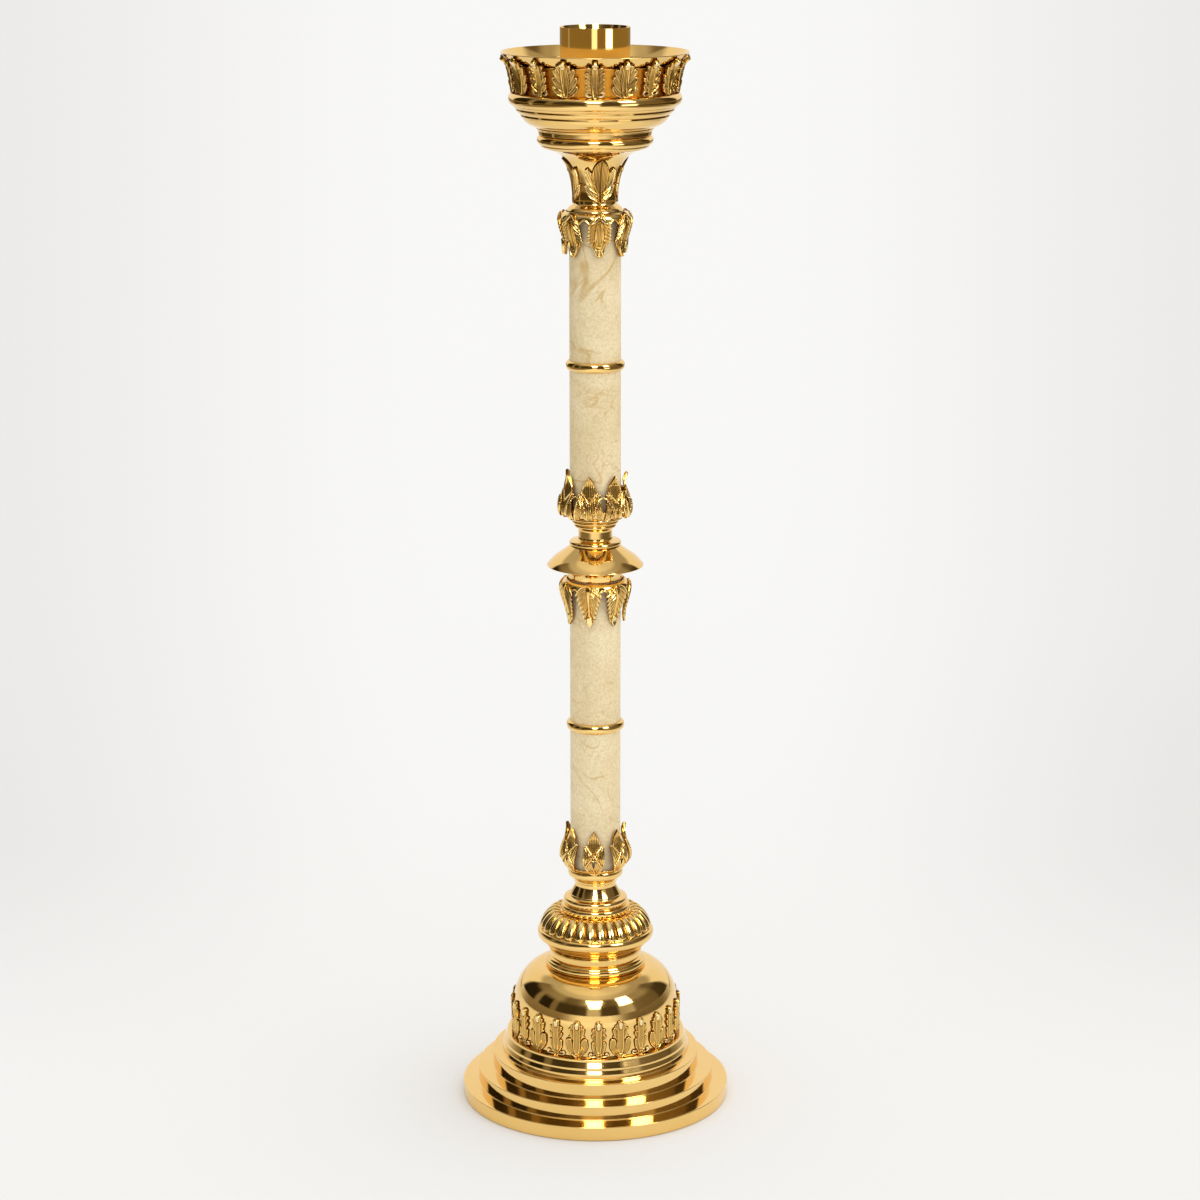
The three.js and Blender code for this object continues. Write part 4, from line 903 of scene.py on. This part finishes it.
curled_leaf = leaf_surface([
    lobe([(0.6, 1.4), (4.4, 1.4), (7.6, 2.2), (8.4, 4.6), (6.8, 5.8)], [2.6, 2.4, 2.4, 3.0],
         (0.3, 1.4), ribs=0, tone=0.75),
    lobe([(1.6, 4.5), (4.8, 7.4), (7.4, 10.6)], [3.4, 4.6, 4.2], (0.3, 2.0), ribs=1.2, rim=0.5, depth=0.3),
    lobe([(1.6, 10.5), (5.0, 14.0), (7.6, 17.4)], [3.4, 4.8, 4.4], (0.3, 2.1), ribs=1.2, rim=0.5, depth=0.3),
    lobe([(1.6, 17), (4.8, 21.0), (7.8, 24.0)], [3.4, 4.8, 4.4], (0.3, 2.1), ribs=1.2, rim=0.5, depth=0.3),
    lobe([(1.6, 23.5), (4.0, 27.2), (6.2, 30.2)], [3.4, 4.6, 4.2], (0.3, 2.0), ribs=1.2, rim=0.5, depth=0.3),
    middle_lobe([(0, 1.5), (0, 18), (0, 35.5)], [5.0, 6.6, 7.0, 6.4, 6.6], (1.3, 1.8), ribs=1.3, depth=0.32),
    middle_lobe([(0, 32.0), (0, 35.2)], [4.6, 6.2], (2.0, 2.6), edge=1.9, tone=1.0, **SMOOTH),
])

broad_leaf = leaf_surface([
    middle_lobe([(0, 1.5), (0, 10), (0, 24)], [8, 14, 12], (0.1, 0.4), ribs=1.4),
    lobe([(1.4, 1.4), (6.2, 4.6), (10.8, 9.6)], [3.6, 6.2, 4.8], (0.3, 2.2), ribs=1.4, depth=0.34, rim=0.5),
    lobe([(1.4, 5.5), (6.4, 12.0), (10.6, 18.6)], [3.6, 6.6, 4.8], (0.4, 2.3), ribs=1.4, depth=0.34, rim=0.5),
    lobe([(1.4, 12.5), (5.4, 20.0), (8.8, 27.0)], [3.6, 6.6, 5.0], (0.5, 2.3), ribs=1.4, depth=0.34, rim=0.5),
    lobe([(1.0, 20.5), (3.4, 26.6), (5.2, 32.0)], [3.6, 5.0, 4.2], (0.7, 2.2), ribs=1.3, rim=0.5),
    middle_lobe([(0, 2), (0, 20), (0, 35.5)], [4.4, 6.6, 8.4, 7.4, 6.8],
                (1.3, 2.0), ribs=1.4, depth=0.34, groove=0.3),
    middle_lobe([(0, 31.8), (0, 35.2)], [4.8, 6.4], (2.2, 2.8), edge=1.9, tone=1.0, **SMOOTH),
])

bowl_line = [(82.0, 1055.2), (82.3, 1061), (82.8, 1067.5), (83.8, 1074), (85.3, 1079.6), (87.0, 1083.8),
             (88.9, 1087), (90.4, 1088.9)]
gallery("bowl_leaf_gallery", (curled_leaf, broad_leaf), bowl_line, 9, 0, thickness=1.0)

neck_leaf = leaf_surface([
    lobe([(0.8, 2.5), (6.2, 8.0), (13.2, 18.0)], [3.4, 8.0, 3.8],
         (0.3, 1.4), ribs=1.9, depth=0.34, rim=0.9, tone=0.74),
    lobe([(1.2, 11), (7.2, 20), (13.6, 35.0)], [4.6, 10.4, 9.6, 3.8],
         (0.5, 1.5), ribs=1.9, depth=0.34, rim=0.95, tone=0.74),
    middle_lobe([(0, 1.0), (0, 24), (0, 46.5)], [3.4, 5.4, 11.5, 16.5, 13.5, 2.4],
                (1.2, 1.2), ribs=1.35, depth=0.42, rim=0.2, groove=0.6, tone=0.32),
])
trumpet_line = [(21.2, 946.0), (21.1, 952), (21.3, 958), (22.2, 965.5), (24.3, 974.5), (27.2, 982.7),
                (30.6, 988.4), (33.4, 991.4)]
for index in range(4):
    work = Gathering()
    work.leaf(neck_leaf, trumpet_line, [math.radians(12.5 + 90 * index)])
    work.finish(f"neck_leaf_{index + 1}", CAST)


# Leaves of the crowns

# Seven pairs of barbs along a quill, the lowest on top
feathered_leaf = leaf_surface([
    lobe([(1.6, 1.0 + 4.4 * step), (7.6 - 0.7 * step, 4.6 + 4.8 * step),
          (12.4 - 1.5 * step, 10.0 + 4.8 * step)], [3.4, 5.0, 3.2],
         (0.3, 1.1), ribs=1.6, depth=0.28, rim=0.6, tone=0.62) for step in range(6, -1, -1)
] + [
    middle_lobe([(0, 2), (0, 18), (0, 39)], [5, 2.6, 2.0, 2.2], (1.0, 1.4), edge=1.0, tone=0.72, **SMOOTH),
    middle_lobe([(0, 36.5), (0, 41), (0, 44.8)], [5.4, 5.6, 1.6], (1.2, 1.6), edge=1.6, tone=1.0, **SMOOTH),
])

# A body with five pairs of chevrons, a pointed tip below them and two raised strokes at the root, the tip and
# strokes with painted highlights
chevrons = [
    lobe([(0.8, 1.6 + 4.3 * step), (5.2, 5.4 + 4.4 * step), (10.0, 11.6 + 3.7 * step)], [3.4, 5.2, 3.4],
         lift=(0.4, 1.4), ribs=1.6, depth=0.3, rim=0.7, tone=0.6) for step in range(4, -1, -1)]
petal_leaf = leaf_surface([
    middle_lobe([(0, 3), (0, 16), (0, 29)], [12, 18.5, 16], (0.1, 0.3), ribs=0, rim=0.3, dish=0, tone=0.4),
    middle_lobe([(0, 26), (0, 34), (0, 42.8)], [8.0, 11.0, 8.2, 2.6],
                (0.8, 2.0), edge=2.6, ribs=0, rim=0.7, dish=0.9, tone=0.82),
] + chevrons + [
    middle_lobe([(0, 3), (0, 17), (0, 31)], [3.6, 7.0, 9.0, 5.0],
                (1.0, 1.5), ribs=1.5, depth=0.3, rim=0.2, groove=0.3, tone=0.5),
    middle_lobe([(0, 35.6), (0, 39.4)], [1.8, 2.6], (2.2, 2.4), edge=1.2, tone=1.0, **SMOOTH),
    lobe([(0.9, 1.6), (3.4, 4.6), (7.4, 7.6)], [2.6, 3.2, 2.2], (1.5, 1.9), edge=1.1, tone=1.0, **SMOOTH),
])

standing_leaf = leaf_surface([
    lobe([(2, 3), (6.2, 12), (9.9, 24.8)], [6.0, 9.0, 3.6],
         (0.2, 1.2), ribs=1.9, depth=0.24, rim=0.8, tone=0.68),
    middle_lobe([(0, 4), (0, 24), (0, 44.4)], [8, 10.5, 15, 16, 9.5, 2.2],
                (0.8, 1.6), ribs=1.8, depth=0.24, rim=0.8, groove=0.3, tone=0.6),
    lobe([(0.2, 17), (3.6, 22), (8.0, 27.5)], [1.6, 1.8, 1.4], (1.9, 1.9), tone=1.0, **SMOOTH),
])

diamond_leaf = leaf_surface([
    lobe([(1.4, 2), (6.0, 15), (8.9, 32.0)], [6.0, 9.0, 3.8],
         (0.3, 1.3), ribs=1.9, depth=0.28, rim=0.8, tone=0.66),
    middle_lobe([(0, 22), (0, 37), (0, 48.6)], [9, 12.0, 13.6, 8.5, 2.0],
                (0.9, 1.3), ribs=1.7, depth=0.28, rim=0.8, dish=0.4, tone=0.55),
    lobe([(0.2, 21), (3.8, 27), (8.2, 33.4)], [1.8, 2.0, 1.6], (1.9, 1.9), tone=1.0, **SMOOTH),
    lobe([(8.4, 12), (4.2, 18), (0.4, 24)], [1.6, 1.8, 1.4], (1.9, 1.9), tone=0.95, **SMOOTH),
])

# Two rounded petals that lean apart under a thin arch, with an opening between them
bud_leaf = leaf_surface([
    lobe([(3.0, 2), (5.6, 10), (4.6, 18)], [5.0, 7.6, 3.6],
         (1.6, 2.2), edge=1.0, ribs=1.3, depth=0.35, rim=0.9, dish=0.5, tone=0.55),
    lobe([(7.6, 14), (4.4, 20.2), (0, 23.2)], [1.6, 1.7, 1.7], (2.0, 2.2), tone=1.0, **SMOOTH),
])


# Crowns: a shoulder ring and seven leaves that hang from it or stand on it

CROWN_LEAVES = 7
RING_COLUMNS = 280
RING_ROWS = 22
RING_BORE = 26.4
RING_WALL = 1.8
FREE_LEAF = 1.2
HANGING_LEAF = 1.0
# Distance from the foot of the ring, and the radius there
DIAMOND_SHOULDER = ((0, 2, 5, 9, 14, 19, 24, 29, 35, 42),
                    (27.6, 29.6, 32.2, 34.4, 35.4, 34.8, 33, 31, 29.2, 28.6))
ROUND_SHOULDER = ((9, 14, 20, 28, 37, 46), (35.2, 34.6, 33.0, 30.4, 28.4, 28.2))


def shoulder(kind, d):
    if kind == "diamond":
        return float(np.interp(d, *DIAMOND_SHOULDER))
    if d < 9:
        return 28.8 + 6.6 * math.sqrt(max(0, 1 - (1 - d / 9) ** 2))
    return float(np.interp(d, *ROUND_SHOULDER))


def crown_ring(work, foot, sign, first_turn, kind):
    """The shoulder that the leaves spring from, with a raised lip near its edge."""
    turn = np.arange(RING_COLUMNS) * FULL_TURN / RING_COLUMNS
    hangs = sign < 0
    if hangs:
        # The ring's edge rises in an arch between two leaves
        offset = np.abs((turn / FULL_TURN * CROWN_LEAVES + 0.5) % 1 - 0.5) * 2
        border = 7.0 + 7.5 * (1 - smooth_step(offset, 0.4, 1.0))
    else:
        border = np.full(RING_COLUMNS, 3.4 if kind == "diamond" else 9.6)
    angle = turn + first_turn - math.pi / 2
    first = 0.4
    outer, inner, tones = [], [], []
    for row in range(RING_ROWS + 1):
        share = row / RING_ROWS
        d = first + (border - first) * share
        lip = (1.0 if hangs else 0.3) * math.exp(-((share - 0.9) / 0.09) ** 2)
        wall = np.array([shoulder(kind, value) for value in d])
        for side, r in ((outer, wall + lip), (inner, np.maximum(RING_BORE, wall - RING_WALL))):
            side.append(np.stack([r * np.cos(angle), r * np.sin(angle), foot + sign * d], 1) * MM)
        # The outside gets a painted highlight along the lip
        tones.extend([0.85 + 0.15 * lip] * RING_COLUMNS)
    # The inside is painted dark, as shade
    tones.extend([0.15] * len(tones))
    faces = np.array(ring_faces(len(outer + inner), RING_COLUMNS))
    if hangs:
        faces = faces[:, ::-1]
    work.add(np.concatenate(outer + inner[::-1]), np.array(tones), faces)


def crown(node, foot, sign, first_degrees, kind):
    """sign is 1 where the leaves stand and -1 where they hang. kind says which leaves they are."""
    work = Gathering()
    crown_ring(work, foot, sign, math.radians(first_degrees), kind)
    turns = math.radians(first_degrees) + FULL_TURN * np.arange(CROWN_LEAVES) / CROWN_LEAVES

    def line(distances, *ends):
        places = [(shoulder(kind, d), d) for d in distances] + list(ends)
        return [(r, foot + sign * d) for r, d in places]

    if kind == "diamond":
        leaf_line = line((0.5, 4, 8, 13, 18, 24, 30, 36, 41), (29.6, 46))
        work.leaf(diamond_leaf, leaf_line, turns, FREE_LEAF)
    elif kind == "budded":
        leaf_line = line((2, 5, 9, 14, 20, 28, 36), (29.4, 42), (31.0, 46))
        work.leaf(standing_leaf, leaf_line, turns, FREE_LEAF)
        work.leaf(bud_leaf, leaf_line, turns + math.pi / CROWN_LEAVES, FREE_LEAF)
    else:
        leaf_line = line((2, 5, 9, 14, 20, 28, 36), (27.8, 42), (27.9, 46))
        leaf = feathered_leaf if kind == "feathered" else petal_leaf
        work.leaf(leaf, leaf_line, turns, HANGING_LEAF, hangs=True)
    work.finish(node, CAST)


crown("base_calyx", LOWER_SHAFT, 1, -3, "diamond")
crown("middle_crown", DISC_FOOT, -1, -11.5, "feathered")
crown("middle_calyx", UPPER_SHAFT, 1, -11.5, "budded")
crown("top_crown", TRUMPET_FOOT, -1, 7.4, "petalled")


# Studio: a pale sweep with a low pale edge in front, and beyond it a dark room with two soft boxes

def sweep_mesh():
    """A wide floor, and an upright pale edge that runs round the front and the sides."""
    half_floor = 40
    edge_radius, edge_lean = 2.0, 0.06
    edge_ends = 137
    steps = 48
    vertices = [(x * half_floor, y * half_floor, 0) for x, y in ((-1, -1), (1, -1), (1, 1), (-1, 1))]
    faces = [(0, 1, 2, 3)]
    for step in range(steps + 1):
        turn = math.radians(edge_ends * (2 * step / steps - 1))
        # The edge is lower toward its ends
        rise = 0.47 - 0.2 * max(0, (abs(turn) - 1.7) / 0.7)
        for radius, height in ((edge_radius, 0.001), (edge_radius + edge_lean, rise)):
            vertices.append((radius * math.sin(turn), -radius * math.cos(turn), height))
        if step:
            last = len(vertices) - 1
            faces.append((last - 3, last - 2, last, last - 1))
    return make_mesh("floor", vertices, faces)


def sweep_material():
    material, tree, shader = new_material("floor")
    calculate, step, turn_step, blend = node_tools(tree)

    def pool_mask(left, right):
        """Mask of a painted pool of light on the floor at the foot of a lamp, between two bearings."""
        return calculate("MULTIPLY", turn_step(bearing, *left), turn_step(bearing, *right))

    x, y, z = axes_of(tree, "Object")
    bearing = calculate("ARCTAN2", x, calculate("MULTIPLY", y, -1))
    aside = calculate("ABSOLUTE", x)
    reach = axis_distance(calculate, x, y)
    in_front = turn_step(calculate("ABSOLUTE", bearing), 139, 135)
    outside = calculate("MULTIPLY", step(reach, 2.05, 2.12), in_front)
    # The backdrop has painted shade, darkening a little toward both sides of the picture
    width = calculate("DIVIDE", aside, calculate("MAXIMUM", calculate("ADD", y, 3.6), 0.5))
    edge = calculate("MULTIPLY", step(width, 0.04, 0.2), step(y, -0.1, 0.9))
    shade = blend(edge, (0.775, 0.775, 0.77, 1), (0.685, 0.68, 0.675, 1))
    # Between the base and the camera the floor is painted brighter, a painted pool of light that shows in the
    # brass
    shade = blend(step(y, -0.3, -0.7), shade, (0.97, 0.965, 0.95, 1))
    beside = step(calculate("SUBTRACT", aside, calculate("MULTIPLY", y, 0.22)), 1.05, 1.9)
    shade = blend(beside, shade, (0.24, 0.20, 0.14, 1))
    # Beyond the pale edge the dark floor has a painted pool of light at the foot of each lamp, and is darkest
    # near the edge
    pool_one = pool_mask((-12, -9), (8, 5))
    pool_two = pool_mask((34, 37), (60, 54))
    pool_three = pool_mask((-99, -96), (-90, -93))
    far = blend(step(reach, 10.5, 12.5), (0.05, 0.036, 0.014, 1), (0.22, 0.155, 0.055, 1))
    far = blend(calculate("ADD", pool_one, pool_two, True), far, (0.95, 0.94, 0.9, 1))
    far = blend(pool_three, far, (0.35, 0.34, 0.3, 1))
    paint(tree, shader, blend(outside, shade, far), 1.0)
    # Far out, the floor itself glows in the painted pools of the first two lamps
    glow = calculate("ADD", calculate("MULTIPLY", pool_two, 4.0), calculate("MULTIPLY", pool_one, 0.5))
    shader.inputs["Emission Color"].default_value = (1, 0.97, 0.92, 1)
    feed(tree, shader.inputs["Emission Strength"], calculate("MULTIPLY", glow, step(reach, 8, 9)))
    shader.inputs["Specular IOR Level"].default_value = 0.0
    return material


def room_tone(value):
    """A grey that is the browner the darker it is."""
    pale = min(1, value / 0.5)
    return value, value * (0.74 + 0.22 * pale), value * (0.36 + 0.54 * pale)


def studio_world():
    world = bpy.data.worlds.new("studio")
    bpy.context.scene.world = world
    world.use_nodes = True
    tree = world.node_tree
    tree.nodes.clear()
    calculate, step, turn_step, blend = node_tools(tree)
    x, y, z = axes_of(tree, "Generated")
    azimuth = calculate("ARCTAN2", x, calculate("MULTIPLY", y, -1))
    elevation = calculate("ARCSINE", z)
    aside = calculate("ABSOLUTE", azimuth)
    round_about = calculate("ADD", calculate("DIVIDE", azimuth, FULL_TURN), 0.5)

    def walls(stops):
        """Tones of the room's walls at bearings in degrees from the front."""
        tones = [((bearing + 180) / 360, room_tone(value)) for bearing, value in stops]
        return ramp(tree, round_about, tones)

    def window(value, low_edge, high_edge, soft):
        rising = step(value, low_edge - soft, low_edge + soft)
        return calculate("MULTIPLY", rising, step(value, high_edge + soft, high_edge - soft))

    def turn_window(value, *degrees):
        return window(value, *(math.radians(number) for number in degrees))

    low = walls([
        (-137, 0.04), (-130, 0.02), (-102, 0.02), (-97, 0.26), (-91, 0.26), (-88, 0.025), (-70, 0.02),
        (-67, 0.2), (-60, 0.2), (-57, 0.055), (-30, 0.05), (-14, 0.09), (-10, 0.6), (5, 0.6),
        (9, 0.08), (32, 0.065), (37, 0.42), (56, 0.5), (61, 0.19), (80, 0.16), (103, 0.14), (108, 0.06),
        (128, 0.05), (137, 0.09)])
    middle = walls([
        (-130, 0.16), (-110, 0.22), (-80, 0.3), (-60, 0.33), (-48, 0.14), (-30, 0.18), (-18, 0.36),
        (10, 0.36), (18, 0.14), (33, 0.16), (60, 0.32), (92, 0.34), (110, 0.13), (130, 0.18)])
    upper = walls([(-180, 0.45), (-120, 0.5), (-40, 0.62), (0, 0.8), (30, 0.6), (90, 0.42), (180, 0.42)])
    ceiling = walls([(-180, 0.75), (-60, 0.85), (0, 0.97), (60, 0.75), (180, 0.7)])
    back = walls([(-180, 0.95), (-150, 0.92), (150, 0.92), (180, 0.95)])
    room = blend(turn_step(elevation, 27, 39), low, middle)
    room = blend(turn_step(elevation, 46, 55), room, upper)
    behind = blend(turn_step(elevation, 34, 42), back, upper)
    in_front = turn_step(calculate("ADD", aside, calculate("MULTIPLY", elevation, 0.34)), 140, 134)
    sky = blend(in_front, behind, room)
    sky = blend(turn_step(elevation, 58, 68), sky, ceiling)

    overhead = calculate("DIVIDE", x, calculate("MAXIMUM", z, 0.05))
    box_one = calculate("MULTIPLY", window(overhead, -0.28, 0.205, 0.02), turn_window(elevation, 28, 47, 2))
    box_one = calculate("MULTIPLY", box_one, turn_step(aside, 89, 86))
    box_two = calculate("MULTIPLY", turn_window(azimuth, 38, 60, 1), turn_window(elevation, 30, 49, 2))
    lit = blend(calculate("ADD", box_one, box_two, True), sky, (12, 11.8, 11.2, 1))

    # The metal mirrors the room, and everything else is lit by plain light, with more of it from the right
    reflected = new_node(tree, "Background", Color=lit)
    plain = new_node(tree, "Background", Color=(1, 0.995, 0.985, 1),
                     Strength=calculate("ADD", calculate("MULTIPLY", x, 0.35), 1.22))
    path = new_node(tree, "LightPath").outputs
    direct = calculate("MULTIPLY", path["Is Glossy Ray"], calculate("LESS_THAN", path["Diffuse Depth"], 0.5))
    mixed = new_node(tree, "MixShader")
    for index, value in enumerate((direct, plain.outputs[0], reflected.outputs[0])):
        tree.links.new(value, mixed.inputs[index])
    new_node(tree, "OutputWorld", Surface=mixed.outputs[0])


floor_mesh = sweep_mesh()
floor_mesh.materials.append(sweep_material())
floor = bpy.data.objects.new("floor", floor_mesh)
bpy.context.scene.collection.objects.link(floor)
studio_world()
